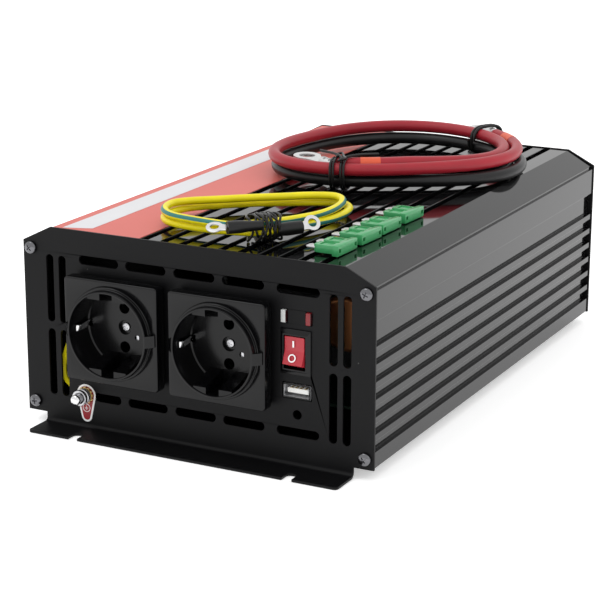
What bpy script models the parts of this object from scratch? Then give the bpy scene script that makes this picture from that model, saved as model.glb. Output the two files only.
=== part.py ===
# Power inverter: a ribbed aluminium case between two steel end panels, with
# two mains sockets, a rocker switch, a USB port, lamps and an earth stud in
# front, a fan and two battery posts behind, and its leads and spare fuses
# stowed on top.  Metres, +Z up, the front faces -Y, X to the right.  The
# origin is the middle of the footprint, on the plane the flanges stand on.
import math
import bpy
import bmesh
from mathutils import Matrix, Vector

MM = 0.001
GAP = 0.3 * MM                 # air kept between touching pieces

# ---- driving dimensions ------------------------------------------------
CASE_HALF_W = 92.0 * MM        # half width over the side ribs
CASE_BOTTOM = 5.9 * MM
CASE_TOP = 97.3 * MM
CASE_LENGTH = 286.0 * MM       # over both end panels
TOP_HALF_W = 77.0 * MM         # half width of the flat top
CHAMFER_FOOT = 89.9 * MM       # height where the chamfer meets the side
PANEL_T = 1.3 * MM
PANEL_RIM = 0.5 * MM           # the panels stand this much outside the case
FLANGE_REACH = 16.4 * MM
FLANGE_HALF_W = 82.2 * MM
POST_REACH = 24.0 * MM         # battery knobs, behind the rear panel

OVERALL_LENGTH = FLANGE_REACH + CASE_LENGTH + POST_REACH
FRONT_Y = -OVERALL_LENGTH / 2 + FLANGE_REACH       # outer face, front panel
REAR_Y = FRONT_Y + CASE_LENGTH                     # outer face, rear panel
SHELL_FRONT = FRONT_Y + PANEL_T + GAP
SHELL_REAR = REAR_Y - PANEL_T - GAP

# case extrusion
WALL_INNER = 86.5 * MM
BOSS_INNER = 84.5 * MM
TOP_INNER = 91.0 * MM
RIB_DEPTH = 2.0 * MM
RIB_HEIGHT = 3.2 * MM
RIB_TOPS = [62.9, 54.7, 46.5, 38.3, 30.1, 21.9]    # mm, each rib's upper edge
SIDE_LAND_FOOT = 74.4 * MM
SKIRT_TOP = 13.6 * MM
SEAM_HEIGHT = 1.5 * MM         # dark line under the chamfer
SEAM_DEPTH = 1.0 * MM
GROOVE_FIRST = -26.7 * MM
GROOVE_PITCH = 10.2 * MM
GROOVE_COUNT = 10
GROOVE_WIDTH = 3.8 * MM
GROOVE_DEPTH = 3.0 * MM
GROOVE_RIDGE = 0.5 * MM        # thin fin along each groove's floor
RIDGE_RISE = 1.6 * MM

# panel screws
SCREW_X = 88.0 * MM
SCREW_ZS = (86.7 * MM, 10.4 * MM)
SCREW_R = 1.5 * MM
SCREW_HEAD_R = 3.1 * MM
SCREW_HEAD_H = 1.9 * MM
SCREW_LENGTH = 9.0 * MM
BOSS_CLEAR = 4.5 * MM         # the wall is thicker this far round each screw
BASE_T = 1.5 * MM

# vents
VENT_W = 4.0 * MM
VENT_XS = (-77.7 * MM, -70.8 * MM, 72.0 * MM, 78.8 * MM)
VENT_SPANS = ((15.0 * MM, 48.0 * MM), (51.5 * MM, 84.5 * MM))
LOUVRE_XS = [-24.9, 0.9, 26.4, 54.3]               # mm, four of each row
LOUVRE_FIRST_X = -50.4 * MM    # the row's first, shorter in the lower row
LOUVRE_SHORT_X = -46.9 * MM
LOUVRE_SHORT_L = 14.5 * MM
LOUVRE_ZS = (83.9 * MM, 17.2 * MM)
LOUVRE_L = 21.5 * MM
LOUVRE_H = 4.2 * MM

# flange
FLANGE_SLOT_X = 57.0 * MM
FLANGE_SLOT_W = 5.0 * MM
FLANGE_SLOT_L = 6.7 * MM
FLANGE_CORNER = 2.0 * MM

# sockets
SOCKETS = (("socket_left", -38.7 * MM), ("socket_right", 17.3 * MM))
SOCKET_Z = 53.0 * MM
SOCKET_PLATE = 50.0 * MM
SOCKET_PLATE_PROUD = 9.2 * MM
SOCKET_COLLAR_PROUD = 13.3 * MM
SOCKET_COLLAR_R = 21.4 * MM
SOCKET_RECESS_R = 20.2 * MM
SOCKET_RECESS_DEPTH = 16.5 * MM
SOCKET_WELL_R = 22.0 * MM
SOCKET_FLOOR_T = 2.6 * MM
SOCKET_EAR_H = 5.6 * MM        # ears left and right of the collar
SOCKET_EAR_REACH = 24.2 * MM
SOCKET_EAR_SLOPE = (3.4 * MM, 3.2 * MM)            # outward, back
GUIDE_XS = (3.4 * MM, 10.0 * MM)                   # wedges beside the notch
GUIDE_TIP = 17.0 * MM          # height above the middle, in front
GUIDE_ROOT = 12.6 * MM         # and at the floor
PIN_PITCH = 19.0 * MM
PIN_HOLE_R = 2.75 * MM
STRAP_W = 3.0 * MM
STRAP_TIP = 5.0 * MM           # behind the collar's front
SINK_R = 3.4 * MM              # countersink of the floor's screw
SINK_DEPTH = 1.6 * MM
BORE_R = 1.9 * MM
STRAP_T = 0.8 * MM

# switch
SWITCH_X = 53.45 * MM
SWITCH_Z = 55.4 * MM
BEZEL_W = 15.2 * MM
BEZEL_H = 21.1 * MM
BEZEL_PROUD = 1.8 * MM
SWITCH_BODY = (13.9 * MM, 19.4 * MM)
SWITCH_POCKET = (11.0 * MM, 15.8 * MM)
SWITCH_BACK_T = 1.5 * MM
ROCKER_W = 9.9 * MM
ROCKER_R = 7.6 * MM            # swing radius behind the rocker's face
ROCKER_FACE = (6.4 * MM, 6.42 * MM)                # corner, forward and up
ROCKER_DIP = 5.1 * MM          # the face's middle, forward of the pivot
ROCKER_BACK = 2.5 * MM
ROCKER_PIVOT_Y = FRONT_Y + 3.0 * MM
ROCKER_TILT = math.radians(11.0)

# small fittings in front
USB_X = 53.9 * MM
USB_Z = 36.9 * MM
USB_SHELL = (14.4 * MM, 7.0 * MM)
USB_MOUTH = (12.7 * MM, 5.4 * MM)
USB_DEPTH = 14.0 * MM
USB_PROUD = 0.4 * MM
TONGUE = (10.6 * MM, 2.2 * MM)
LED_Z = 71.6 * MM
LEDS = (("led_power", 47.5 * MM), ("led_fault", 59.9 * MM))
LED_SIZE = (2.6 * MM, 5.8 * MM)
LED_PROUD = 1.3 * MM
LED_DEPTH = 6.0 * MM
KEYHOLE = (54.0 * MM, 25.7 * MM, 2.2 * MM)
EARTH_X = -59.2 * MM
EARTH_Z = 17.5 * MM
STUD_R = 2.5 * MM
STUD_PROUD = 10.9 * MM
STUD_HEAD = (4.5 * MM, 4.5 * MM)                   # radius, back face
EARTH_HOLE_R = 2.8 * MM
EARTH_WASHER = (4.3 * MM, 1.5 * MM)                # radius, front face
EARTH_NUT = (4.3 * MM, 1.9 * MM, 6.8 * MM)         # radius, back and front

# rear fittings
FAN_X = 38.0 * MM
FAN_Z = 52.0 * MM
FAN_SIZE = 70.0 * MM
FAN_DEPTH = 15.0 * MM
FAN_BORE_R = 33.0 * MM
FAN_BLADES = 7
POSTS = (("positive", -28.0 * MM), ("negative", -62.0 * MM))
POST_Z = 52.0 * MM
KNOB_R = 9.0 * MM

# stowed battery leads: two leads of one and a half turns, black below red
LEAD_R = 3.2 * MM
COIL_X = 14.6 * MM
COIL_Y = FRONT_Y + 193.9 * MM
COIL_INSET = 7.0 * MM          # the inner half turn lies this far inside
BLACK_Z = CASE_TOP + 4.9 * MM
RED_Z = CASE_TOP + 11.6 * MM
# mean radius, then cosine and sine parts of one, two and three waves a turn
RED_SHAPE = (61.4, -2.6, 3.7, -3.2, 5.2, 2.9, -1.0)
BLACK_SHAPE = (60.9, -1.2, 5.2, -0.4, 4.6, 3.2, -1.5)
TURN_START = -99.0             # degrees from +X, at the front lug
TURN_END = 422.0
LUG_REACH = 24.0 * MM          # barrel mouth to ring centre
BARREL_R = 3.0 * MM
FRONT_LUG_RUN = (-0.90, 0.43)
REAR_LUG_RUN = (-0.63, 0.78)
TIE_TOP = CASE_TOP + 18.6 * MM
# each tie's middle and half width (mm from the front panel), and its bundle's run
LEAD_TIES = (("lead_tie_front", (7.9, 138.0), (0.97, 0.22), 11.4),
             ("lead_tie_rear", (39.6, 254.0), (-0.88, 0.47), 11.8))

# stowed earth lead: a two-turn hank (x, y from the front panel, mm)
EARTH_LEAD_R = 1.9 * MM
HANK_LINE = [(5.0, 18.5), (-10.0, 17.8), (-22.5, 21.3), (-31.0, 30.3),
             (-35.0, 42.5), (-30.5, 52.5), (-20.0, 62.5), (-5.0, 75.0),
             (12.0, 88.0), (24.0, 94.5), (33.5, 90.5), (38.5, 79.0),
             (38.9, 66.0), (36.2, 55.0), (29.5, 42.5), (19.0, 27.5)]
HANK_HALF_W = 3.7 * MM
HANK_LOW = CASE_TOP + 2.0 * MM
HANK_HIGH = CASE_TOP + 10.0 * MM

# number, tail, sleeve's end, lug's ring centre: x, y from the front panel and
# height over the case, mm; then the lug's roll in degrees
EARTH_TAILS = ((1, (26.5, 17.5, 9.4), (15.3, 5.75, 9.6), (10.0, 4.0, 9.6), -20.0),
               (2, (30.5, 25.0, 6.0), (38.6, 34.2, 6.4), (41.1, 38.7, 7.6), 50.0))
SLEEVE_R = 2.4 * MM
SLEEVE_CLEAR = 1.7 * MM        # from the sleeve to the lug, which leans away from it
SMALL_RING_R = 4.0 * MM
SMALL_HOLE_R = 2.1 * MM
HANK_TIE = ((24.5, 27.0), (0.62, 0.78), 11.5)
HANK_TIE_SPAN = (0.6 * MM, 13.5 * MM)
HANK_TIE_W = 5.0 * MM

# spare blade fuses
FUSE_XS = (61.0, 61.7, 61.9, 62.2)                 # mm, centre of each body
FUSE_YS = (22.9, 47.0, 68.7, 93.6)                 # mm from the front panel
FUSE_TURNS = (-1.5, -3.0, -2.0, -3.5)              # degrees about Z
FUSE_W = 19.1 * MM
FUSE_H = 13.3 * MM
FUSE_T = 5.1 * MM
FUSE_HEAD_L = 3.2 * MM
FUSE_BODY_HALF = 8.2 * MM
FUSE_BODY_T = 3.8 * MM
FUSE_SLIT = (7.5 * MM, 0.7 * MM)                   # half width, half height
BLADE_OUT = 4.6 * MM           # beyond the body
BLADE_SPAN = (2.1 * MM, 7.2 * MM)
BLADE_T = 0.7 * MM

# inside (mm): x, y from the front panel
BOARD_PLACE = (0.0, 140.0, 150.0, 190.0)
TRANSFORMER_PLACE = (20.0, 110.0, 48.0, 40.0)
CHOKE_PLACE = (69.5, 22.0, 66.0)
CAPACITOR_PLACE = (-40.0, 80.0)
EARTH_WIRE_R = 1.4 * MM
EARTH_WIRE_ROUTE = [(-59.2, 6.7, 17.5), (-62.5, 8.0, 16.5), (-68.5, 6.5, 17.2),
                    (-72.7, 4.6, 21.0), (-74.4, 4.0, 26.0), (-73.6, 4.2, 33.0),
                    (-71.0, 6.0, 42.0), (-66.0, 11.0, 49.0), (-58.0, 13.5, 53.0),
                    (-50.0, 13.5, 53.0), (-42.0, 12.8, 53.0)]

# ---- start clean -------------------------------------------------------
for old in list(bpy.data.objects):
    bpy.data.objects.remove(old)
scene_objects = bpy.context.scene.collection.objects


# ---- helpers -----------------------------------------------------------
def material(name, colour, roughness=0.5, metallic=0.0):
    mat = bpy.data.materials.new(name)
    mat.use_nodes = True
    shader = mat.node_tree.nodes["Principled BSDF"]
    shader.inputs["Base Color"].default_value = (*colour, 1.0)
    shader.inputs["Roughness"].default_value = roughness
    shader.inputs["Metallic"].default_value = metallic
    return mat


def finish(name, bm, mat, smooth=False, origin=None):
    """Turn a bmesh into a named object; origin moves the object's own zero."""
    bmesh.ops.remove_doubles(bm, verts=bm.verts, dist=1e-6)
    bmesh.ops.recalc_face_normals(bm, faces=bm.faces)
    if origin is not None:
        bmesh.ops.translate(bm, vec=-Vector(origin), verts=bm.verts)
    mesh = bpy.data.meshes.new(name)
    bm.to_mesh(mesh)
    bm.free()
    if mat is not None:
        mesh.materials.append(mat)
    if smooth:
        mesh.shade_smooth()
        mesh.set_sharp_from_angle(angle=math.radians(35))
    obj = bpy.data.objects.new(name, mesh)
    if origin is not None:
        obj.location = origin
    scene_objects.link(obj)
    return obj


def arc(cx, cy, r, start, end, steps):
    """Points on an arc, start and end in degrees."""
    points = []
    for i in range(steps + 1):
        a = math.radians(start + (end - start) * i / steps)
        points.append((cx + r * math.cos(a), cy + r * math.sin(a)))
    return points


def circle(cx, cy, r, steps):
    return arc(cx, cy, r, 0, 360, steps)[:-1]


def rounded(cx, cy, w, h, r, steps=3):
    """A rectangle with round corners, counter-clockwise."""
    x = w / 2 - r
    y = h / 2 - r
    return (arc(cx + x, cy + y, r, 0, 90, steps)
            + arc(cx - x, cy + y, r, 90, 180, steps)
            + arc(cx - x, cy - y, r, 180, 270, steps)
            + arc(cx + x, cy - y, r, 270, 360, steps))


def slot(cx, cy, w, h):
    """A slot with round ends; its longer side runs along w or h."""
    return rounded(cx, cy, w, h, min(w, h) / 2 - 1e-6, 3)


def prism(outline, holes, low, high, axis):
    """A solid with a flat outline and holes, from low to high on an axis.

    The outline's (u, v) are (X, Z) for axis Y, (X, Y) for Z, (Y, Z) for X.
    """
    def place(u, v, depth):
        if axis == "Y":
            return (u, depth, v)
        if axis == "Z":
            return (u, v, depth)
        return (depth, u, v)

    bm = bmesh.new()
    edges = []
    for loop in [outline] + list(holes):
        verts = [bm.verts.new(place(u, v, low)) for u, v in loop]
        for i, vert in enumerate(verts):
            edges.append(bm.edges.new((vert, verts[(i + 1) % len(verts)])))
    bmesh.ops.triangle_fill(bm, use_beauty=True, use_dissolve=False, edges=edges)
    made = bmesh.ops.extrude_face_region(bm, geom=bm.faces[:])
    moved = [g for g in made["geom"] if isinstance(g, bmesh.types.BMVert)]
    step = Vector(place(0, 0, high)) - Vector(place(0, 0, low))
    bmesh.ops.translate(bm, vec=step, verts=moved)
    return bm


def turned(profile, steps, axis="Y", centre=(0, 0, 0)):
    """A solid of revolution; profile is (along, radius), from end to end."""
    bm = bmesh.new()
    rings = []
    for along, radius in profile:
        if radius < 1e-7:
            rings.append([bm.verts.new((0, along, 0))])
            continue
        ring = []
        for i in range(steps):
            a = 2 * math.pi * i / steps
            ring.append(bm.verts.new((radius * math.cos(a), along,
                                      radius * math.sin(a))))
        rings.append(ring)
    for a, b in zip(rings, rings[1:]):
        for i in range(steps):
            j = (i + 1) % steps
            if len(a) == 1:
                bm.faces.new((a[0], b[i], b[j]))
            elif len(b) == 1:
                bm.faces.new((a[i], a[j], b[0]))
            else:
                bm.faces.new((a[i], a[j], b[j], b[i]))
    if len(rings[0]) > 1:
        bm.faces.new(rings[0])
    if len(rings[-1]) > 1:
        bm.faces.new(rings[-1])
    turn = Matrix.Identity(4)
    if axis == "Z":
        turn = Matrix.Rotation(math.radians(90), 4, "X")
    if axis == "X":
        turn = Matrix.Rotation(math.radians(-90), 4, "Z")
    bmesh.ops.transform(bm, matrix=Matrix.Translation(centre) @ turn,
                        verts=bm.verts)
    return bm


def combine(target, tool_bm, operation):
    """Cut or join a bmesh into an object with a Boolean kept on it."""
    tool = finish(target.name + "_tool", tool_bm, None)
    tool.hide_render = True
    tool.display_type = "WIRE"
    tool.matrix_world = Matrix.Identity(4)
    mod = target.modifiers.new(operation.lower(), "BOOLEAN")
    mod.operation = operation
    mod.solver = "EXACT"
    mod.object = tool
    return tool


def cut(target, tool_bm):
    return combine(target, tool_bm, "DIFFERENCE")


def join(target, tool_bm):
    return combine(target, tool_bm, "UNION")


def box(x0, x1, y0, y1, z0, z1):
    return prism([(x0, y0), (x1, y0), (x1, y1), (x0, y1)], [], z0, z1, "Z")


def smooth_loop(points, steps):
    """A closed Catmull-Rom curve through (x, y) points."""
    out = []
    n = len(points)
    for i in range(n):
        p = [Vector(points[(i + k) % n]) for k in (-1, 0, 1, 2)]
        for s in range(steps):
            t = s / steps
            out.append(0.5 * (2 * p[1] + (p[2] - p[0]) * t
                              + (2 * p[0] - 5 * p[1] + 4 * p[2] - p[3]) * t ** 2
                              + (3 * p[1] - p[0] - 3 * p[2] + p[3]) * t ** 3))
    return out


def offset_loop(points, distance):
    """Move a closed loop sideways, outwards for a counter-clockwise loop."""
    out = []
    n = len(points)
    for i in range(n):
        along = (points[(i + 1) % n] - points[i - 1]).normalized()
        out.append(points[i] + Vector((along.y, -along.x)) * distance)
    return out


# ---- finishes ----------------------------------------------------------
ALUMINIUM = material("anodised_aluminium", (0.12, 0.12, 0.125), 0.3, 0.9)
STEEL = material("black_powder_coat", (0.022, 0.022, 0.024), 0.6)
BARE_STEEL = material("zinc_plate", (0.6, 0.6, 0.62), 0.3, 1.0)
YELLOW_ZINC = material("yellow_zinc", (0.62, 0.45, 0.18), 0.35, 1.0)
BLACK_PLASTIC = material("black_plastic", (0.02, 0.02, 0.022), 0.35)
RED_PLASTIC = material("red_plastic", (0.45, 0.04, 0.05), 0.35)
WHITE_PLASTIC = material("white_plastic", (0.8, 0.8, 0.78), 0.4)
CLEAR_LENS = material("clear_lens", (0.75, 0.85, 0.78), 0.1)
RED_LENS = material("red_lens", (0.6, 0.06, 0.05), 0.1)
GREEN_PLASTIC = material("green_fuse_plastic", (0.05, 0.35, 0.12), 0.2)
BOARD_GREEN = material("circuit_board", (0.03, 0.15, 0.06), 0.5)
COPPER = material("copper_winding", (0.5, 0.2, 0.08), 0.35, 1.0)
FERRITE = material("ferrite", (0.04, 0.04, 0.045), 0.7)
BRASS = material("brass", (0.7, 0.5, 0.2), 0.3, 1.0)
RED_RUBBER = material("red_lead_jacket", (0.38, 0.02, 0.03), 0.4)
BLACK_RUBBER = material("black_lead_jacket", (0.02, 0.02, 0.02), 0.4)
YELLOW_GREEN = material("earth_lead_jacket", (0.8, 0.7, 0.02), 0.4)
TINNED = material("tinned_copper", (0.7, 0.7, 0.7), 0.25, 1.0)


# ---- case --------------------------------------------------------------
def case_outline():
    """Half of the extrusion's section, from the skirt up to the middle."""
    outer = [(CASE_HALF_W, CASE_BOTTOM), (CASE_HALF_W, SKIRT_TOP)]
    ribs = sorted(RIB_TOPS)
    for top in ribs:
        high = top * MM
        outer += [(CASE_HALF_W - RIB_DEPTH, outer[-1][1]),
                  (CASE_HALF_W - RIB_DEPTH, high - RIB_HEIGHT),
                  (CASE_HALF_W, high - RIB_HEIGHT), (CASE_HALF_W, high)]
    outer += [(CASE_HALF_W - RIB_DEPTH, outer[-1][1]),
              (CASE_HALF_W - RIB_DEPTH, SIDE_LAND_FOOT),
              (CASE_HALF_W, SIDE_LAND_FOOT),
              (CASE_HALF_W, CHAMFER_FOOT - SEAM_HEIGHT),
              (CASE_HALF_W - SEAM_DEPTH, CHAMFER_FOOT - SEAM_HEIGHT),
              (CASE_HALF_W - SEAM_DEPTH, CHAMFER_FOOT),
              (TOP_HALF_W, CASE_TOP)]
    return outer


def groove_outline(centre):
    """One groove with its fin, from right to left."""
    half = GROOVE_WIDTH / 2
    fin = GROOVE_RIDGE / 2
    floor = CASE_TOP - GROOVE_DEPTH
    return [(centre + half, CASE_TOP), (centre + half, floor),
            (centre + fin, floor), (centre + fin, floor + RIDGE_RISE),
            (centre - fin, floor + RIDGE_RISE), (centre - fin, floor),
            (centre - half, floor), (centre - half, CASE_TOP)]


def case_shell():
    right = case_outline()
    left = [(-x, z) for x, z in reversed(right)]
    top = []
    for i in reversed(range(GROOVE_COUNT)):
        top += groove_outline(GROOVE_FIRST + GROOVE_PITCH * i)
    boss_low = SCREW_ZS[1] + BOSS_CLEAR
    boss_high = SCREW_ZS[0] - BOSS_CLEAR
    inner_right = [(BOSS_INNER, CASE_BOTTOM), (BOSS_INNER, boss_low),
                   (WALL_INNER, boss_low + 2 * MM),
                   (WALL_INNER, boss_high - 2 * MM), (BOSS_INNER, boss_high),
                   (BOSS_INNER, TOP_INNER)]
    inner_left = [(-x, z) for x, z in inner_right]
    outline = right + top + left + inner_left + inner_right[::-1]
    shell = finish("case_shell",
                   prism(outline, [], SHELL_FRONT, SHELL_REAR, "Y"), ALUMINIUM)
    for side in (-1, 1):
        for z in SCREW_ZS:
            for y in (SHELL_FRONT, SHELL_REAR):
                profile = [(-SCREW_LENGTH, SCREW_R + GAP),
                           (SCREW_LENGTH, SCREW_R + GAP)]
                cut(shell, turned(profile, 10, "Y", (side * SCREW_X, y, z)))
    base_half = BOSS_INNER - GAP
    plate = rounded(0, (SHELL_FRONT + SHELL_REAR) / 2, 2 * base_half,
                    SHELL_REAR - SHELL_FRONT, 0.5 * MM, 1)
    finish("base_plate", prism(plate, [], CASE_BOTTOM, CASE_BOTTOM + BASE_T,
                               "Z"), STEEL)


# ---- end panels --------------------------------------------------------
def panel_outline():
    """The panel's outline with the neck that runs down to the flange."""
    half = CASE_HALF_W + PANEL_RIM
    low = CASE_BOTTOM - PANEL_RIM
    top = CASE_TOP + PANEL_RIM
    right = [(FLANGE_HALF_W, 0), (FLANGE_HALF_W, low), (half, low),
             (half, CHAMFER_FOOT + 0.2 * MM), (TOP_HALF_W + 0.2 * MM, top)]
    return right + [(-x, z) for x, z in reversed(right)]


def common_holes():
    holes = []
    for side in (-1, 1):
        for z in SCREW_ZS:
            holes.append(circle(side * SCREW_X, z, SCREW_R + GAP, 10))
    return holes


def flange(face, out):
    """The mounting flange as a flat plate with two open slots."""
    tip = face + out * FLANGE_REACH
    back = face - out * PANEL_T
    r = FLANGE_CORNER
    half = FLANGE_HALF_W
    slot_r = FLANGE_SLOT_W / 2
    bottom = tip - out * (FLANGE_SLOT_L - slot_r)
    line = [(half, back), (half, tip - out * r)]
    line += [(half - r + r * math.sin(a), tip - out * (r - r * math.cos(a)))
             for a in (math.radians(60), math.radians(30), 0)]
    for x in (FLANGE_SLOT_X, -FLANGE_SLOT_X):
        line += [(x + slot_r, tip)]
        line += [(x + slot_r * math.cos(a), bottom - out * slot_r * math.sin(a))
                 for a in [math.pi * i / 6 for i in range(7)]]
        line += [(x - slot_r, tip)]
    line += [(-half + r - r * math.sin(a), tip - out * (r - r * math.cos(a)))
             for a in (0, math.radians(30), math.radians(60))]
    line += [(-half, tip - out * r), (-half, back)]
    return prism(line, [], 0, PANEL_T, "Z")


def front_panel():
    holes = common_holes()
    for x in VENT_XS:
        for low, high in VENT_SPANS:
            holes.append(slot(x, (low + high) / 2, VENT_W, high - low))
    for x in LOUVRE_XS:
        for z in LOUVRE_ZS:
            holes.append(slot(x * MM, z, LOUVRE_L, LOUVRE_H))
    # the earth stud sits beside the lower row, on its own land
    holes.append(slot(LOUVRE_FIRST_X, LOUVRE_ZS[0], LOUVRE_L, LOUVRE_H))
    holes.append(slot(LOUVRE_SHORT_X, LOUVRE_ZS[1], LOUVRE_SHORT_L, LOUVRE_H))
    holes.append(circle(EARTH_X, EARTH_Z, EARTH_HOLE_R, 16))
    for _, x in SOCKETS:
        holes.append(circle(x, SOCKET_Z, SOCKET_WELL_R + 2 * GAP, 32))
    for _, x in LEDS:
        holes.append(rounded(x, LED_Z, LED_SIZE[0] + 2 * GAP,
                             LED_SIZE[1] + 2 * GAP, 0.5 * MM, 2))
    holes.append(rounded(SWITCH_X, SWITCH_Z, SWITCH_BODY[0] + 2 * GAP,
                         SWITCH_BODY[1] + 2 * GAP, 0.5 * MM, 2))
    holes.append(rounded(USB_X, USB_Z, USB_SHELL[0] + 2 * GAP,
                         USB_SHELL[1] + 2 * GAP, 0.5 * MM, 2))
    holes.append(circle(KEYHOLE[0], KEYHOLE[1], KEYHOLE[2], 16))
    bm = prism(panel_outline(), holes, FRONT_Y, FRONT_Y + PANEL_T, "Y")
    panel = finish("front_panel", bm, STEEL)
    join(panel, flange(FRONT_Y, -1))


def rear_panel():
    holes = common_holes()
    for i in range(-4, 5):
        x = i * 7.0 * MM
        reach = math.sqrt((FAN_BORE_R - 2 * MM) ** 2 - x ** 2)
        holes.append(slot(FAN_X + x, FAN_Z, 4.6 * MM, 2 * reach))
    for _, x in POSTS:
        holes.append(circle(x, POST_Z, 5.3 * MM, 20))
    bm = prism(panel_outline(), holes, REAR_Y - PANEL_T, REAR_Y, "Y")
    panel = finish("rear_panel", bm, STEEL)
    join(panel, flange(REAR_Y, 1))


def panel_screws():
    """Pan-head screws, four in each panel."""
    for end, face, out in (("front", FRONT_Y, -1), ("rear", REAR_Y, 1)):
        count = 0
        for side in (-1, 1):
            for z in SCREW_ZS:
                count += 1
                head = face + out * GAP
                profile = [(head - out * SCREW_LENGTH, 0),
                           (head - out * SCREW_LENGTH, SCREW_R),
                           (head, SCREW_R), (head, SCREW_HEAD_R),
                           (head + out * 0.5 * SCREW_HEAD_H, SCREW_HEAD_R),
                           (head + out * 0.85 * SCREW_HEAD_H, 0.75 * SCREW_HEAD_R),
                           (head + out * SCREW_HEAD_H, 0.4 * SCREW_HEAD_R),
                           (head + out * SCREW_HEAD_H, 0)]
                finish(f"{end}_screw_{count}",
                       turned(profile, 10, "Y", (side * SCREW_X, 0, z)),
                       BARE_STEEL, smooth=True)


# ---- sockets -----------------------------------------------------------
def socket(name, x):
    z = SOCKET_Z
    plate_front = FRONT_Y - SOCKET_PLATE_PROUD
    collar_front = FRONT_Y - SOCKET_COLLAR_PROUD
    floor = collar_front + SOCKET_RECESS_DEPTH
    back = floor + SOCKET_FLOOR_T
    plate = rounded(x, z, SOCKET_PLATE, SOCKET_PLATE, 1.5 * MM)
    cover = finish(name + "_cover",
                   prism(plate, [], plate_front, FRONT_Y - GAP, "Y"),
                   BLACK_PLASTIC)
    well = [(plate_front + MM, SOCKET_WELL_R), (back, SOCKET_WELL_R)]
    join(cover, turned(well, 32, "Y", (x, 0, z)))
    collar = [(collar_front, SOCKET_COLLAR_R), (plate_front + MM, SOCKET_COLLAR_R)]
    join(cover, turned(collar, 32, "Y", (x, 0, z)))
    out, drop = SOCKET_EAR_SLOPE
    ear_front = collar_front + 0.4 * MM
    ears = [(x - SOCKET_EAR_REACH, plate_front + MM),
            (x - SOCKET_EAR_REACH, ear_front + drop),
            (x - SOCKET_EAR_REACH + out, ear_front),
            (x + SOCKET_EAR_REACH - out, ear_front),
            (x + SOCKET_EAR_REACH, ear_front + drop),
            (x + SOCKET_EAR_REACH, plate_front + MM)]
    join(cover, prism(ears, [], z - SOCKET_EAR_H / 2, z + SOCKET_EAR_H / 2, "Z"))
    recess = [(collar_front - MM, SOCKET_RECESS_R), (floor, SOCKET_RECESS_R)]
    cut(cover, turned(recess, 32, "Y", (x, 0, z)))
    for side in (-1, 1):
        for inner, outer in (GUIDE_XS, [-g for g in GUIDE_XS[::-1]]):
            join(cover, guide(x + inner, x + outer, x, z, side,
                              collar_front + 0.6 * MM, floor + 0.5 * MM))
        pin = [(floor - MM, PIN_HOLE_R), (back + MM, PIN_HOLE_R)]
        cut(cover, turned(pin, 12, "Y", (x, 0, z + side * PIN_PITCH / 2)))
        # channel for the earth strap's arm, through the floor
        arm = SOCKET_RECESS_R + 0.4 * MM
        low = x + side * (arm - 3.0 * MM)
        high = x + side * arm
        cut(cover, box(min(low, high), max(low, high),
                       collar_front + STRAP_TIP - MM, back + MM,
                       z - STRAP_W / 2 - GAP, z + STRAP_W / 2 + GAP))
    # the guides' faces slope from the floor to the front
    ramp = [(collar_front - MM, z - GUIDE_TIP), (floor, z - GUIDE_ROOT),
            (floor, z + GUIDE_ROOT), (collar_front - MM, z + GUIDE_TIP)]
    ramp_half = GUIDE_XS[1] + 0.1 * MM
    cut(cover, prism(ramp, [], x - ramp_half, x + ramp_half, "X"))
    hole = [(floor - MM, SINK_R), (floor + SINK_DEPTH, SINK_R),
            (floor + SINK_DEPTH, BORE_R), (back + MM, BORE_R)]
    cut(cover, turned(hole, 16, "Y", (x, 0, z)))
    # earth strap: a U behind the floor whose arms stand in the recess
    arm_out = SOCKET_RECESS_R - 0.1 * MM
    arm_in = arm_out - STRAP_T
    tip = collar_front + STRAP_TIP
    bulge = tip + 2 * MM
    lean = 1.2 * MM
    strap_back = back + GAP + STRAP_T
    strap = [(x - arm_out, tip), (x - arm_out + lean, bulge),
             (x - arm_out, floor), (x - arm_out, strap_back),
             (x + arm_out, strap_back), (x + arm_out, floor),
             (x + arm_out - lean, bulge), (x + arm_out, tip),
             (x + arm_in, tip), (x + arm_in - lean, bulge),
             (x + arm_in, floor), (x + arm_in, back + GAP),
             (x - arm_in, back + GAP), (x - arm_in, floor),
             (x - arm_in + lean, bulge), (x - arm_in, tip)]
    earth = finish(name + "_strap",
                   prism(strap, [], z - STRAP_W / 2, z + STRAP_W / 2, "Z"),
                   BARE_STEEL)
    bore = [(back - MM, BORE_R), (strap_back + MM, BORE_R)]
    # the strap is left whole round the screw: wider there than the bore
    boss = [(back + GAP, 3.2 * MM), (strap_back, 3.2 * MM)]
    join(earth, turned(boss, 16, "Y", (x, 0, z)))
    cut(earth, turned(bore, 12, "Y", (x, 0, z)))
    seat = floor + SINK_DEPTH - GAP
    shank = BORE_R - 1.3 * GAP
    screw = [(seat - 0.9 * MM, 0), (seat - 0.9 * MM, 2.4 * MM),
             (seat, 2.7 * MM), (seat, shank),
             (strap_back + 3 * MM, shank), (strap_back + 3 * MM, 0)]
    finish(name + "_screw", turned(screw, 12, "Y", (x, 0, z)), BARE_STEEL,
           smooth=True)


def guide(x0, x1, x, z, side, front, back):
    """A block against the recess's wall, between x0 and x1."""
    r = SOCKET_RECESS_R + 0.9 * MM
    rim = []
    for k in range(4):
        u = x0 + (x1 - x0) * k / 3
        rim.append((u, z + side * math.sqrt(r * r - (u - x) ** 2)))
    outline = [(x1, z + side * GUIDE_ROOT), (x0, z + side * GUIDE_ROOT)] + rim
    return prism(outline, [], front, back, "Y")


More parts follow.
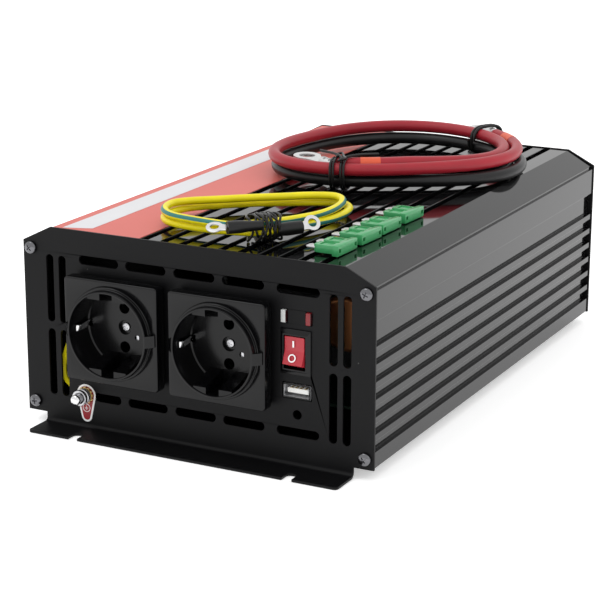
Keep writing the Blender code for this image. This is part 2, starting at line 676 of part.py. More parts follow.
# ---- switch ------------------------------------------------------------
def rocker_switch():
    front = FRONT_Y - BEZEL_PROUD
    frame = rounded(SWITCH_X, SWITCH_Z, BEZEL_W, BEZEL_H, 0.8 * MM, 2)
    bezel = finish("switch_bezel", prism(frame, [], front, FRONT_Y - GAP, "Y"),
                   BLACK_PLASTIC)
    housing = rounded(SWITCH_X, SWITCH_Z, *SWITCH_BODY, 0.4 * MM, 2)
    back = ROCKER_PIVOT_Y + ROCKER_R + 2.0 * MM
    join(bezel, prism(housing, [], front + 0.5 * MM, back, "Y"))
    pocket = rounded(SWITCH_X, SWITCH_Z, *SWITCH_POCKET, 0.3 * MM, 2)
    cut(bezel, prism(pocket, [], front - MM, back - SWITCH_BACK_T, "Y"))
    # rocker: two shallow facets in front, round ends, tilted to "on"
    ahead, up = ROCKER_FACE
    turn_in = math.degrees(math.asin(up / ROCKER_R))
    waist = ROCKER_R - 1.6 * MM
    profile = [(-ROCKER_DIP, 0.0), (-ahead, up)]
    profile += arc(0, 0, ROCKER_R, 180 - turn_in, 95, 4)
    profile += [(ROCKER_BACK, waist), (ROCKER_BACK, -waist)]
    profile += arc(0, 0, ROCKER_R, 265, 180 + turn_in, 4)
    profile += [(-ahead, -up)]
    turn = Matrix.Rotation(-ROCKER_TILT, 2)
    points = []
    for y, z in profile:
        p = turn @ Vector((y, z))
        points.append((ROCKER_PIVOT_Y + p.x, SWITCH_Z + p.y))
    half = ROCKER_W / 2
    finish("switch_rocker",
           prism(points, [], SWITCH_X - half, SWITCH_X + half, "X"),
           RED_PLASTIC, origin=(SWITCH_X, ROCKER_PIVOT_Y, SWITCH_Z))


# ---- small front fittings ----------------------------------------------
def usb_port():
    frame = rounded(USB_X, USB_Z, *USB_SHELL, 0.6 * MM, 2)
    shell = finish("usb_shell", prism(frame, [], FRONT_Y - USB_PROUD,
                                      FRONT_Y + USB_DEPTH, "Y"), BARE_STEEL)
    mouth = rounded(USB_X, USB_Z, *USB_MOUTH, 0.3 * MM, 1)
    cut(shell, prism(mouth, [], FRONT_Y - 2 * MM,
                     FRONT_Y + USB_DEPTH - 1.5 * MM, "Y"))
    tongue = rounded(USB_X, USB_Z, *TONGUE, 0.2 * MM, 1)
    finish("usb_tongue", prism(tongue, [], FRONT_Y + MM,
                               FRONT_Y + USB_DEPTH - 1.8 * MM, "Y"),
           WHITE_PLASTIC)


def lamps():
    for name, x in LEDS:
        lens = rounded(x, LED_Z, *LED_SIZE, 0.4 * MM, 2)
        mat = CLEAR_LENS if name == "led_power" else RED_LENS
        finish(name, prism(lens, [], FRONT_Y - LED_PROUD, FRONT_Y + LED_DEPTH,
                           "Y"), mat)


def earth_terminal():
    y = FRONT_Y
    tip = y - STUD_PROUD
    head_r, head_back = STUD_HEAD
    stud = [(tip, 0), (tip, 0.5 * STUD_R), (tip + 0.7 * MM, 0.9 * STUD_R),
            (tip + 1.8 * MM, STUD_R), (y + PANEL_T + GAP, STUD_R),
            (y + PANEL_T + GAP, head_r), (y + head_back, head_r),
            (y + head_back, 0)]
    finish("earth_stud", turned(stud, 14, "Y", (EARTH_X, 0, EARTH_Z)),
           BARE_STEEL, smooth=True)
    hole = circle(EARTH_X, EARTH_Z, EARTH_HOLE_R, 14)
    washer_r, washer_front = EARTH_WASHER
    finish("earth_washer", prism(circle(EARTH_X, EARTH_Z, washer_r, 14), [hole],
                                 y - washer_front, y - GAP, "Y"), YELLOW_ZINC)
    nut_r, nut_back, nut_front = EARTH_NUT
    hexagon = circle(EARTH_X, EARTH_Z, nut_r, 6)
    finish("earth_nut", prism(hexagon, [hole], y - nut_front, y - nut_back, "Y"),
           BARE_STEEL, origin=(EARTH_X, y - (nut_back + nut_front) / 2, EARTH_Z))


# ---- inside ------------------------------------------------------------
def internals():
    """Circuit board, transformer, choke, smoothing capacitor, earth wire."""
    places = []
    for x, y, w, d in (BOARD_PLACE, TRANSFORMER_PLACE):
        places.append(rounded(x * MM, FRONT_Y + y * MM, w * MM, d * MM, 2 * MM, 2))
    finish("main_board", prism(places[0], [], 15 * MM, 16.6 * MM, "Z"), BOARD_GREEN)
    finish("transformer", prism(places[1], [], 17 * MM, 55 * MM, "Z"), FERRITE)
    x, y, z = CHOKE_PLACE
    coil = [(-6 * MM, 0), (-6 * MM, 11.5 * MM), (-4 * MM, 13.5 * MM),
            (4 * MM, 13.5 * MM), (6 * MM, 11.5 * MM), (6 * MM, 0)]
    finish("choke", turned(coil, 18, "Y", (x * MM, FRONT_Y + y * MM, z * MM)),
           COPPER, smooth=True)
    x, y = CAPACITOR_PLACE
    can = [(17 * MM, 0), (17 * MM, 12 * MM), (58 * MM, 12 * MM),
           (60 * MM, 11 * MM), (60 * MM, 0)]
    finish("capacitor", turned(can, 16, "Z", (x * MM, FRONT_Y + y * MM, 0)),
           BLACK_PLASTIC, smooth=True)
    wire = [Vector((px * MM, FRONT_Y + py * MM, pz * MM))
            for px, py, pz in EARTH_WIRE_ROUTE]
    tube("earth_wire", open_curve(wire, 2), EARTH_WIRE_R, YELLOW_GREEN)


def open_curve(points, steps):
    """Points along an open Catmull-Rom curve."""
    ends = [2 * points[0] - points[1]] + points + [2 * points[-1] - points[-2]]
    out = []
    for i in range(len(points) - 1):
        p = ends[i:i + 4]
        for s in range(steps):
            t = s / steps
            out.append(0.5 * (2 * p[1] + (p[2] - p[0]) * t
                              + (2 * p[0] - 5 * p[1] + 4 * p[2] - p[3]) * t ** 2
                              + (3 * p[1] - p[0] - 3 * p[2] + p[3]) * t ** 3))
    out.append(points[-1])
    return out


def tube(name, points, radius, mat):
    curve = bpy.data.curves.new(name, "CURVE")
    curve.dimensions = "3D"
    curve.bevel_depth = radius
    curve.bevel_resolution = 2
    curve.use_fill_caps = True
    spline = curve.splines.new("POLY")
    spline.points.add(len(points) - 1)
    for point, place in zip(spline.points, points):
        point.co = (*place, 1.0)
    curve.materials.append(mat)
    obj = bpy.data.objects.new(name, curve)
    scene_objects.link(obj)
    return obj


# ---- rear fittings -----------------------------------------------------
def fan():
    back = REAR_Y - PANEL_T - GAP
    front = back - FAN_DEPTH
    outline = rounded(FAN_X, FAN_Z, FAN_SIZE, FAN_SIZE, 4 * MM)
    frame = finish("fan_frame",
                   prism(outline, [circle(FAN_X, FAN_Z, FAN_BORE_R, 40)],
                         front, back, "Y"), BLACK_PLASTIC)
    for i in range(3):
        a = math.radians(90 + 120 * i)
        reach = FAN_BORE_R + MM
        c, s = math.cos(a), math.sin(a)
        w = 2 * MM
        strut = [(FAN_X + w * s, FAN_Z - w * c),
                 (FAN_X + reach * c + w * s, FAN_Z + reach * s - w * c),
                 (FAN_X + reach * c - w * s, FAN_Z + reach * s + w * c),
                 (FAN_X - w * s, FAN_Z + w * c)]
        join(frame, prism(strut, [], front + 0.2 * MM, front + 2.2 * MM, "Y"))
    hub = [(front, 13 * MM), (front + 2.4 * MM, 13 * MM)]
    join(frame, turned(hub, 24, "Y", (FAN_X, 0, FAN_Z)))
    # rotor: a cup with pitched blades
    low = front + 3.0 * MM
    high = back - 1.2 * MM
    cup = [(low, 12.5 * MM), (high - MM, 12.5 * MM), (high, 11.5 * MM)]
    rotor = finish("fan_rotor", turned(cup, 28, "Y", (FAN_X, 0, FAN_Z)),
                   BLACK_PLASTIC, origin=(FAN_X, (low + high) / 2, FAN_Z))
    for i in range(FAN_BLADES):
        bm = bmesh.new()
        rows = []
        for k in range(4):
            radius = (11.0 + 7.0 * k) * MM
            half = math.radians(15.0 - 1.5 * k)
            row = []
            for side, y in ((-1, low + MM), (1, high - 1.5 * MM)):
                for thick in (-0.6 * MM, 0.6 * MM):
                    a = side * half + 2 * math.pi * i / FAN_BLADES
                    row.append(bm.verts.new((FAN_X + radius * math.cos(a), y + thick,
                                             FAN_Z + radius * math.sin(a))))
            rows.append(row)
        for a, b in zip(rows, rows[1:]):
            for p, q in ((0, 1), (1, 3), (3, 2), (2, 0)):
                bm.faces.new((a[p], a[q], b[q], b[p]))
        for row in (rows[0], rows[-1]):
            bm.faces.new((row[0], row[1], row[3], row[2]))
        join(rotor, bm)


def battery_posts():
    for name, x in POSTS:
        inner = REAR_Y - PANEL_T - GAP
        outer = REAR_Y + GAP
        post = [(inner - 6 * MM, 0), (inner - 6 * MM, 7 * MM), (inner, 7 * MM),
                (inner, 5 * MM), (outer, 5 * MM), (outer, 8 * MM),
                (outer + 3 * MM, 8 * MM), (outer + 3 * MM, 4 * MM),
                (outer + 18 * MM, 4 * MM), (outer + 19 * MM, 3.2 * MM),
                (outer + 19 * MM, 0)]
        finish("post_" + name, turned(post, 16, "Y", (x, 0, POST_Z)), BRASS,
               smooth=True)
        start = outer + 3 * MM + GAP
        end = REAR_Y + POST_REACH
        ribs = 10
        rim = []
        for i in range(4 * ribs):
            r = KNOB_R if i % 4 in (0, 1) else KNOB_R - 0.8 * MM
            a = 2 * math.pi * i / (4 * ribs)
            rim.append((x + r * math.cos(a), POST_Z + r * math.sin(a)))
        bore = circle(x, POST_Z, 4.4 * MM, 16)
        mat = RED_PLASTIC if name == "positive" else BLACK_PLASTIC
        finish("knob_" + name, prism(rim, [bore], start, end, "Y"), mat,
               origin=(x, (start + end) / 2, POST_Z))


# ---- stowed battery leads ----------------------------------------------
def coil_radius(shape, degrees):
    """Distance of the outer turn from the coil's centre."""
    a = math.radians(degrees)
    r = shape[0]
    for k in (1, 2, 3):
        r += shape[2 * k - 1] * math.cos(k * a) + shape[2 * k] * math.sin(k * a)
    return r * MM


def coil_inset(degrees):
    """How far inside the outer turn the inner half turn lies."""
    t = min(max((degrees - 70.0) / 90.0, 0.0), 1.0)
    return COIL_INSET * (1 - t * t * (3 - 2 * t))


def coil_place(shape, degrees, inset):
    a = math.radians(degrees)
    r = coil_radius(shape, degrees) - inset
    return Vector((COIL_X + r * math.cos(a), COIL_Y + r * math.sin(a)))


def coil(name, shape, z, mat):
    """The closed outer shape of one lead's turns.

    Both half turns lie side by side from the front lug round to the rear
    lug, and a single turn closes the loop behind and on the left.
    """
    steps = 46
    outer = []
    inner = []
    for i in range(steps + 1):
        degrees = TURN_START + 360.0 * i / steps
        inset = coil_inset(degrees)
        if degrees < TURN_END - 360.0:
            outer.append(coil_place(shape, degrees, -LEAD_R))
        else:
            outer.append(coil_place(shape, degrees, inset - LEAD_R))
        inner.append(coil_place(shape, degrees, inset + LEAD_R))
    outer[-1] = coil_place(shape, TURN_START, -LEAD_R)
    inner[-1] = coil_place(shape, TURN_START, LEAD_R)
    outline = [tuple(p) for p in outer[:-1]]
    hole = [tuple(p) for p in inner]
    finish(name, prism(outline, [hole], z - LEAD_R, z + LEAD_R, "Z"), mat)


def lug(name, start, end, z_start, z_end, mat):
    """A crimped ring lug: barrel at start, ring centred on end."""
    start = Vector((*start, z_start))
    end = Vector((*end, z_end))
    reach = (end - start).length
    bm = turned([(0, BARREL_R), (11 * MM, BARREL_R)], 12, "X")
    obj = finish(name, bm, mat)
    ring_r = 7.2 * MM
    palm = [(9 * MM, -4.2 * MM)]
    palm += [(reach + ring_r * math.cos(a), ring_r * math.sin(a))
             for a in [math.radians(-140 + 20 * i) for i in range(15)]]
    palm += [(9 * MM, 4.2 * MM)]
    tool = join(obj, prism(palm, [circle(reach, 0, 4.2 * MM, 14)],
                           -1.0 * MM, 0.9 * MM, "Z"))
    along = (end - start).normalized()
    side = Vector((0, 0, 1)).cross(along).normalized()
    up = along.cross(side)
    frame = Matrix((along, side, up)).transposed().to_4x4()
    place = Matrix.Translation(start) @ frame
    obj.matrix_world = place
    tool.matrix_world = place


def tie(name, centre, along, half_w, low, high, width=3.0 * MM, thick=1.1 * MM):
    """A loop of tie wire round a bundle, as a flat band."""
    across = Vector((-along[1], along[0])).normalized()
    side = Vector((across.x, across.y, 0))
    run = Vector((along[0], along[1], 0)).normalized()
    mid = (low + high) / 2
    outer = rounded(0, 0, 2 * half_w, high - low, 2.5 * MM, 4)
    inner = rounded(0, 0, 2 * (half_w - thick), high - low - 2 * thick,
                    1.4 * MM, 4)
    bm = prism(outer, [inner], -width / 2, width / 2, "Y")
    frame = Matrix((side, run, Vector((0, 0, 1)))).transposed().to_4x4()
    if frame.determinant() < 0:
        frame = Matrix((-side, run, Vector((0, 0, 1)))).transposed().to_4x4()
    bmesh.ops.transform(bm, matrix=Matrix.Translation((*centre, mid)) @ frame,
                        verts=bm.verts)
    finish(name, bm, BLACK_RUBBER)


def battery_leads():
    for colour, shape, z, mat in (("black", BLACK_SHAPE, BLACK_Z, BLACK_RUBBER),
                                  ("red", RED_SHAPE, RED_Z, RED_RUBBER)):
        coil(colour + "_lead", shape, z, mat)
        first = coil_place(shape, TURN_START - 1.8, COIL_INSET + 0.6 * MM)
        ring = first + LUG_REACH * Vector(FRONT_LUG_RUN)
        lug(colour + "_lug_front", first, ring, z, z + 1.0 * MM, TINNED)
        last = coil_place(shape, TURN_END + 1.6, -0.6 * MM)
        ring = last + LUG_REACH * Vector(REAR_LUG_RUN)
        lug(colour + "_lug_rear", last, ring, z, z - 1.0 * MM, TINNED)
    for name, (x, y), along, half_w in LEAD_TIES:
        tie(name, (x * MM, FRONT_Y + y * MM), along, half_w * MM,
            CASE_TOP + GAP, TIE_TOP)


# ---- stowed earth lead -------------------------------------------------
def earth_lead():
    line = [(x * MM, FRONT_Y + y * MM) for x, y in HANK_LINE]
    loop = smooth_loop(line[::-1], 3)
    outer = offset_loop(loop, HANK_HALF_W)
    inner = offset_loop(loop, -HANK_HALF_W)
    finish("ground_lead",
           prism([tuple(p) for p in outer], [[tuple(p) for p in inner]],
                 HANK_LOW, HANK_HIGH, "Z"), YELLOW_GREEN)
    for number, tail, head, ring, roll in EARTH_TAILS:
        a, b, c = [Vector((x * MM, FRONT_Y + y * MM, CASE_TOP + z * MM))
                   for x, y, z in (tail, head, ring)]
        tube(f"ground_sleeve_{number}", [a, a.lerp(b, 0.5), b], SLEEVE_R,
             BLACK_RUBBER)
        along = (c - b).normalized()
        start = b + along * SLEEVE_CLEAR
        reach = (c - start).length
        flat = [(0, -2.0 * MM)]
        flat += [(reach + SMALL_RING_R * math.cos(t), SMALL_RING_R * math.sin(t))
                 for t in [math.radians(-140 + 20 * i) for i in range(15)]]
        flat += [(0, 2.0 * MM)]
        bm = prism(flat, [circle(reach, 0, SMALL_HOLE_R, 16)], -0.5 * MM,
                   0.5 * MM, "Z")
        side = Vector((0, 0, 1)).cross(along).normalized()
        frame = Matrix((along, side, along.cross(side))).transposed().to_4x4()
        tilt = Matrix.Rotation(math.radians(roll), 4, "X")
        bmesh.ops.transform(bm, matrix=Matrix.Translation(start) @ frame @ tilt,
                            verts=bm.verts)
        finish(f"ground_lug_{number}", bm, TINNED)
    (x, y), run, half_w = HANK_TIE
    low, high = HANK_TIE_SPAN
    tie("ground_tie", (x * MM, FRONT_Y + y * MM), run, half_w * MM,
        CASE_TOP + low, CASE_TOP + high, HANK_TIE_W)


# ---- spare fuses -------------------------------------------------------
def fuse(number, x, y, turn):
    mid = CASE_TOP + GAP + FUSE_T / 2
    half_l = FUSE_H / 2
    root = half_l - FUSE_HEAD_L
    body = finish(f"fuse_{number}_body",
                  box(root, half_l, -FUSE_W / 2, FUSE_W / 2,
                      -FUSE_T / 2, FUSE_T / 2), GREEN_PLASTIC)
    lower = box(-half_l, root + MM, -FUSE_BODY_HALF, FUSE_BODY_HALF,
                -FUSE_BODY_T / 2, FUSE_BODY_T / 2)
    slit_w, slit_h = FUSE_SLIT
    slit = box(-half_l - MM, root - GAP, -slit_w, slit_w, -slit_h, slit_h)
    tools = [join(body, lower), cut(body, slit)]
    place = (Matrix.Translation((x * MM, FRONT_Y + y * MM, mid))
             @ Matrix.Rotation(math.radians(turn), 4, "Z"))
    outer = -half_l - BLADE_OUT
    split = -half_l + 1.5 * MM
    link = root - MM
    near, far = BLADE_SPAN
    outline = [(outer, -far), (split, -far), (link, -far), (link, far),
               (outer, far), (outer, near), (split, near), (split, -near),
               (outer, -near)]
    blades = finish(f"fuse_{number}_blades",
                    prism(outline, [], -BLADE_T / 2, BLADE_T / 2, "Z"), BARE_STEEL)
    for piece in [body, blades] + tools:
        piece.matrix_world = place


case_shell()
front_panel()
rear_panel()
panel_screws()
for socket_name, socket_x in SOCKETS:
    socket(socket_name, socket_x)
rocker_switch()
usb_port()
lamps()
earth_terminal()
internals()
fan()
battery_posts()
battery_leads()
earth_lead()
for index, (fuse_x, fuse_y, fuse_turn) in enumerate(zip(FUSE_XS, FUSE_YS,
                                                        FUSE_TURNS)):
    fuse(index + 1, fuse_x, fuse_y, fuse_turn)
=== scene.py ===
"""Looks of a power inverter: its finishes, fine shapes, stowed leads and a plain
studio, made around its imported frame.  Metres, +Z up, the front faces -Y."""

import math

import bmesh
import bpy
from bpy.props import FloatProperty, FloatVectorProperty, PointerProperty
from mathutils import Matrix, Vector


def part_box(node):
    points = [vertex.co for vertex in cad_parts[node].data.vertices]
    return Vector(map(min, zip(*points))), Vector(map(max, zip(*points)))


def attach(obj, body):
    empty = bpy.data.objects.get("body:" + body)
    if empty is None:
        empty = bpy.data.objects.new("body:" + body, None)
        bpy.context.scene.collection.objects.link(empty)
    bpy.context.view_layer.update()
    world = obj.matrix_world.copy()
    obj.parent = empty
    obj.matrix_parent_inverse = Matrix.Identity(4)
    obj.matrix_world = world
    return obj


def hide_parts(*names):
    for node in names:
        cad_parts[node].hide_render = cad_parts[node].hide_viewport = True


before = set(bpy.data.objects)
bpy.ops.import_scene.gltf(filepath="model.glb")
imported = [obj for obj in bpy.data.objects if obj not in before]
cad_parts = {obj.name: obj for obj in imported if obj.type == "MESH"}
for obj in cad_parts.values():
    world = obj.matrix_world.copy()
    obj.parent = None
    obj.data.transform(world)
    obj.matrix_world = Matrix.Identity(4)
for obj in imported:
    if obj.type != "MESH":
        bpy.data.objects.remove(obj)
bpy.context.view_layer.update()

bl_info = {
    "name": "Power Inverter",
    "version": (1, 0, 0),
    "blender": (4, 5, 0),
    "location": "View3D > Sidebar > Inverter",
    "description": "Dresses a power inverter with its fine shapes, leads and finishes",
    "category": "Object",
}

MM = 0.001
MERGE = 0.000002                # m, points closer than this become one
SQUARE = 0.9999                 # a unit normal this long along an axis is square to it
LARGE = 0.000004                # m2, faces over this are shaded flat
PANEL_T = 1.3                   # mm, sheet of the end panels
GAP = 0.3                       # mm, air between touching pieces
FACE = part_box("case_shell")[0].y - (PANEL_T + GAP) * MM     # front panel, outside
LENGTH = (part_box("case_shell")[1].y - FACE) / MM + PANEL_T + GAP
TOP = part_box("case_shell")[1].z / MM
CASE_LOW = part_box("case_shell")[0].z / MM
CASE_HALF_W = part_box("case_shell")[1].x / MM
FLANGE_HALF_W = 82.2
TOP_HALF_W = 77.0
CHAMFER_FOOT = 89.9
REACH = (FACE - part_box("front_panel")[0].y) / MM            # flange, before the panel


# ---- places and points -------------------------------------------------
def at(x, y, z):
    """A place in millimetres: y is behind the front panel, z above the floor."""
    return Vector((x * MM, FACE + y * MM, z * MM))


def arc(cx, cy, r, start, end, steps):
    """Points on an arc, start and end in degrees."""
    points = []
    for i in range(steps + 1):
        a = math.radians(start + (end - start) * i / steps)
        points.append((cx + r * math.cos(a), cy + r * math.sin(a)))
    return points


def circle(cx, cy, r, steps=32):
    return arc(cx, cy, r, 0, 360, steps)[:-1]


def rounded(cx, cy, w, h, r, steps=5):
    """A rectangle with round corners, counter-clockwise."""
    x = w / 2 - r
    y = h / 2 - r
    return (arc(cx + x, cy + y, r, 0, 90, steps)
            + arc(cx - x, cy + y, r, 90, 180, steps)
            + arc(cx - x, cy - y, r, 180, 270, steps)
            + arc(cx + x, cy - y, r, 270, 360, steps))


def slot_hole(cx, cy, w, h):
    """A slot with round ends, along its longer side."""
    return rounded(cx, cy, w, h, min(w, h) / 2 - 0.01, 8)


def spline_through(points, steps):
    """A smooth open line (Catmull-Rom) through points."""
    ends = [2 * points[0] - points[1]] + points + [2 * points[-1] - points[-2]]
    line = []
    for i in range(len(points) - 1):
        a, b, c, d = ends[i:i + 4]
        for s in range(steps):
            t = s / steps
            line.append(0.5 * (2 * b + (c - a) * t + (2 * a - 5 * b + 4 * c - d) * t ** 2
                               + (3 * b - a - 3 * c + d) * t ** 3))
    line.append(points[-1])
    return line


def length_of(line):
    return sum((b - a).length for a, b in zip(line, line[1:]))


# ---- modelling, as by hand ---------------------------------------------
def pick(obj):
    """Select one object alone and make it active."""
    bpy.ops.object.select_all(action="DESELECT")
    obj.select_set(True)
    bpy.context.view_layer.objects.active = obj
    return obj


def new_object(name, data):
    obj = bpy.data.objects.new(name, data)
    bpy.context.scene.collection.objects.link(obj)
    return pick(obj)


def edit_faces(obj, test):
    """Enter edit mode with the faces selected whose centre and normal pass."""
    pick(obj)
    bpy.ops.object.mode_set(mode="EDIT")
    bpy.ops.mesh.select_mode(type="FACE")
    bpy.ops.mesh.select_all(action="DESELECT")
    bm = bmesh.from_edit_mesh(obj.data)
    for face in bm.faces:
        face.select_set(bool(test(face.calc_center_median(), face.normal)))
    bmesh.update_edit_mesh(obj.data)


def edit_edges(obj, test):
    """Enter edit mode with the edges selected whose two ends pass."""
    pick(obj)
    bpy.ops.object.mode_set(mode="EDIT")
    bpy.ops.mesh.select_mode(type="EDGE")
    bpy.ops.mesh.select_all(action="DESELECT")
    bm = bmesh.from_edit_mesh(obj.data)
    for edge in bm.edges:
        edge.select_set(bool(test(edge.verts[0].co, edge.verts[1].co)))
    bmesh.update_edit_mesh(obj.data)


def leave_edit():
    bpy.ops.object.mode_set(mode="OBJECT")


def tidy(obj, flip_check=True):
    """Merge doubles and turn the faces outwards."""
    pick(obj)
    bpy.ops.object.mode_set(mode="EDIT")
    bpy.ops.mesh.select_all(action="SELECT")
    bpy.ops.mesh.remove_doubles(threshold=MERGE)
    if flip_check:
        bpy.ops.mesh.normals_make_consistent(inside=False)
    leave_edit()
    return obj


def modify(obj, kind, **settings):
    """Add a modifier and apply it."""
    pick(obj)
    mod = obj.modifiers.new(kind.lower(), kind)
    for key, value in settings.items():
        setattr(mod, key, value)
    bpy.ops.object.modifier_apply(modifier=mod.name)
    return obj


def soften(obj, width, segments=2, angle=32.0):
    """Break the sharp edges with a small round, and shade smooth."""
    modify(obj, "BEVEL", width=width * MM, segments=segments, limit_method="ANGLE",
           angle_limit=math.radians(angle), use_clamp_overlap=False,
           miter_outer="MITER_ARC", harden_normals=False)
    return shade(obj)


def settle(obj):
    """Shade the square faces and the large ones flat, beside smooth rounds."""
    for face in obj.data.polygons:
        square = max(abs(part) for part in face.normal) > SQUARE
        if square or face.area > LARGE:
            face.use_smooth = False
    return obj


def shade(obj, angle=35.0):
    pick(obj)
    bpy.ops.object.shade_smooth_by_angle(angle=math.radians(angle))
    return obj


def combine(obj, tool, operation):
    """Cut with a tool, or take it in, and throw the tool away."""
    modify(obj, "BOOLEAN", object=tool, operation=operation, solver="EXACT")
    bpy.data.objects.remove(tool)
    return obj


def cut(obj, tool):
    return combine(obj, tool, "DIFFERENCE")


def unite(obj, tool):
    return combine(obj, tool, "UNION")


def together(*objs):
    """Join objects into the first one."""
    pick(objs[0])
    for obj in objs:
        obj.select_set(True)
    bpy.ops.object.join()
    return bpy.context.view_layer.objects.active


def copy_of(node):
    """A CAD node's own shape with its loose triangles merged into faces."""
    obj = new_object(node + "_fine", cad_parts[node].data.copy())
    obj.data.materials.clear()
    bpy.ops.object.mode_set(mode="EDIT")
    bpy.ops.mesh.select_all(action="SELECT")
    bpy.ops.mesh.remove_doubles(threshold=MERGE)
    bpy.ops.mesh.dissolve_limited(angle_limit=math.radians(0.4))
    leave_edit()
    return obj


def plate(name, outline, holes, low, high, axis="Y", rounding=0.0, segments=2):
    """A flat plate with holes and round edges, from low to high on an axis.

    The outline's (u, v) are (x, z) for axis Y and (x, y) for axis Z.
    """
    curve = bpy.data.curves.new(name, "CURVE")
    curve.dimensions = "2D"
    curve.fill_mode = "BOTH"
    curve.extrude = ((high - low) / 2 - rounding) * MM
    curve.bevel_depth = rounding * MM
    curve.bevel_resolution = segments - 1
    curve.offset = -rounding * MM
    for loop in [outline] + [hole[::-1] for hole in holes]:
        spline = curve.splines.new("POLY")
        spline.points.add(len(loop) - 1)
        spline.use_cyclic_u = True
        for point, (u, v) in zip(spline.points, loop):
            point.co = (u * MM, v * MM, 0, 1)
    obj = new_object(name, curve)
    bpy.ops.object.convert(target="MESH")
    obj = bpy.context.view_layer.objects.active
    tidy(obj)
    if axis == "Y":
        obj.data.transform(Matrix.Rotation(math.radians(90), 4, "X"))
        obj.data.transform(Matrix.Translation((0, FACE + (low + high) / 2 * MM, 0)))
    else:
        obj.data.transform(Matrix.Translation((0, FACE, (low + high) / 2 * MM)))
    return obj


def block(name, low, high, rounding=0.0, segments=2):
    """A box between two corners (mm) with all its edges rounded."""
    a = at(*low)
    b = at(*high)
    bpy.ops.object.select_all(action="DESELECT")
    bpy.ops.mesh.primitive_cube_add(size=1.0, location=(a + b) / 2, scale=b - a)
    obj = bpy.context.object
    obj.name = name
    bpy.ops.object.transform_apply(location=True, rotation=False, scale=True)
    if rounding > 0:
        edit_edges(obj, lambda p, q: True)
        bpy.ops.mesh.bevel(offset=rounding * MM, segments=segments, affect="EDGES")
        leave_edit()
    return obj


def lathe(name, profile, centre, axis="Y", steps=48, closed=False):
    """A turned shape; the profile is (along, radius) in mm from the centre.

    An open profile starts and ends on the axis.
    """
    points = [(radius * MM, along * MM, 0.0) for along, radius in profile]
    edges = [(i, i + 1) for i in range(len(points) - 1)]
    if closed:
        edges.append((len(points) - 1, 0))
    mesh = bpy.data.meshes.new(name)
    mesh.from_pydata(points, edges, [])
    obj = new_object(name, mesh)
    bpy.ops.object.mode_set(mode="EDIT")
    bpy.ops.mesh.select_all(action="SELECT")
    bpy.ops.mesh.spin(steps=steps, angle=2 * math.pi, center=(0, 0, 0), axis=(0, 1, 0))
    leave_edit()
    tidy(obj)
    if axis == "Z":
        obj.data.transform(Matrix.Rotation(math.radians(90), 4, "X"))
    if axis == "X":
        obj.data.transform(Matrix.Rotation(math.radians(-90), 4, "Z"))
    obj.data.transform(Matrix.Translation(at(*centre)))
    return shade(obj)


def rod(name, line, radius, resolution=3, caps=True):
    """A curve of one open line with a round section."""
    curve = bpy.data.curves.new(name, "CURVE")
    curve.dimensions = "3D"
    curve.bevel_depth = radius * MM
    curve.bevel_resolution = resolution
    curve.use_fill_caps = caps
    spline = curve.splines.new("POLY")
    spline.points.add(len(line) - 1)
    spline.use_smooth = True
    for point, place in zip(spline.points, line):
        point.co = (*place, 1.0)
    return new_object(name, curve)


def wire(name, line, radius, resolution=2):
    """A bent wire as a mesh."""
    rod(name, line, radius, resolution)
    bpy.ops.object.convert(target="MESH")
    return shade(tidy(bpy.context.view_layer.objects.active), 60.0)


def turn_about(obj, place, axis, degrees):
    """Turn a mesh about a line through a place."""
    matrix = (Matrix.Translation(place) @ Matrix.Rotation(math.radians(degrees), 4, axis)
              @ Matrix.Translation(-place))
    obj.data.transform(matrix)
    return obj


def lying_along(along):
    """The turn that lays +X along a direction, with +Y kept level."""
    side = Vector((0, 0, 1)).cross(along).normalized()
    return Matrix((along, side, along.cross(side))).transposed().to_4x4()


def cross_recess(screw, x, z, front, deep, reach, half):
    """Cut a cross into a screw's head: two slots, each reach by half."""
    for across, up in ((reach, half), (half, reach)):
        cut(screw, block("wing", (x - across, front, z - up), (x + across, deep, z + up)))
    return screw


def give(obj, name, body, finish, stands_for=()):
    """Name a finished piece, colour it, and tie it to its body."""
    obj.name = name
    obj.data.name = name
    finishes = finish if isinstance(finish, (list, tuple)) else [finish]
    if len(finishes) == 1:
        obj.data.materials.clear()
    for one in finishes:
        obj.data.materials.append(bpy.data.materials[one])
    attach(obj, body)
    if stands_for:
        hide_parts(*stands_for)
    return obj


def coat(node, finish):
    """Give a CAD node that keeps its shape its finish."""
    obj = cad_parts[node]
    obj.data.materials.clear()
    obj.data.materials.append(bpy.data.materials[finish])


# ---- shader maths ------------------------------------------------------
class Value:
    """A node's output that takes part in sums."""

    def __init__(self, paint, socket):
        self.paint = paint
        self.socket = socket

    def sum(self, operation, first, second):
        return self.paint.node("ShaderNodeMath", {"operation": operation},
                               {0: first, 1: second})

    def __add__(self, other):
        return self.sum("ADD", self, other)

    __radd__ = __add__

    def __sub__(self, other):
        return self.sum("SUBTRACT", self, other)

    def __rsub__(self, other):
        return self.sum("SUBTRACT", other, self)

    def __mul__(self, other):
        return self.sum("MULTIPLY", self, other)

    __rmul__ = __mul__

    def __gt__(self, other):
        return self.sum("GREATER_THAN", self, other)

    def __lt__(self, other):
        return self.sum("LESS_THAN", self, other)


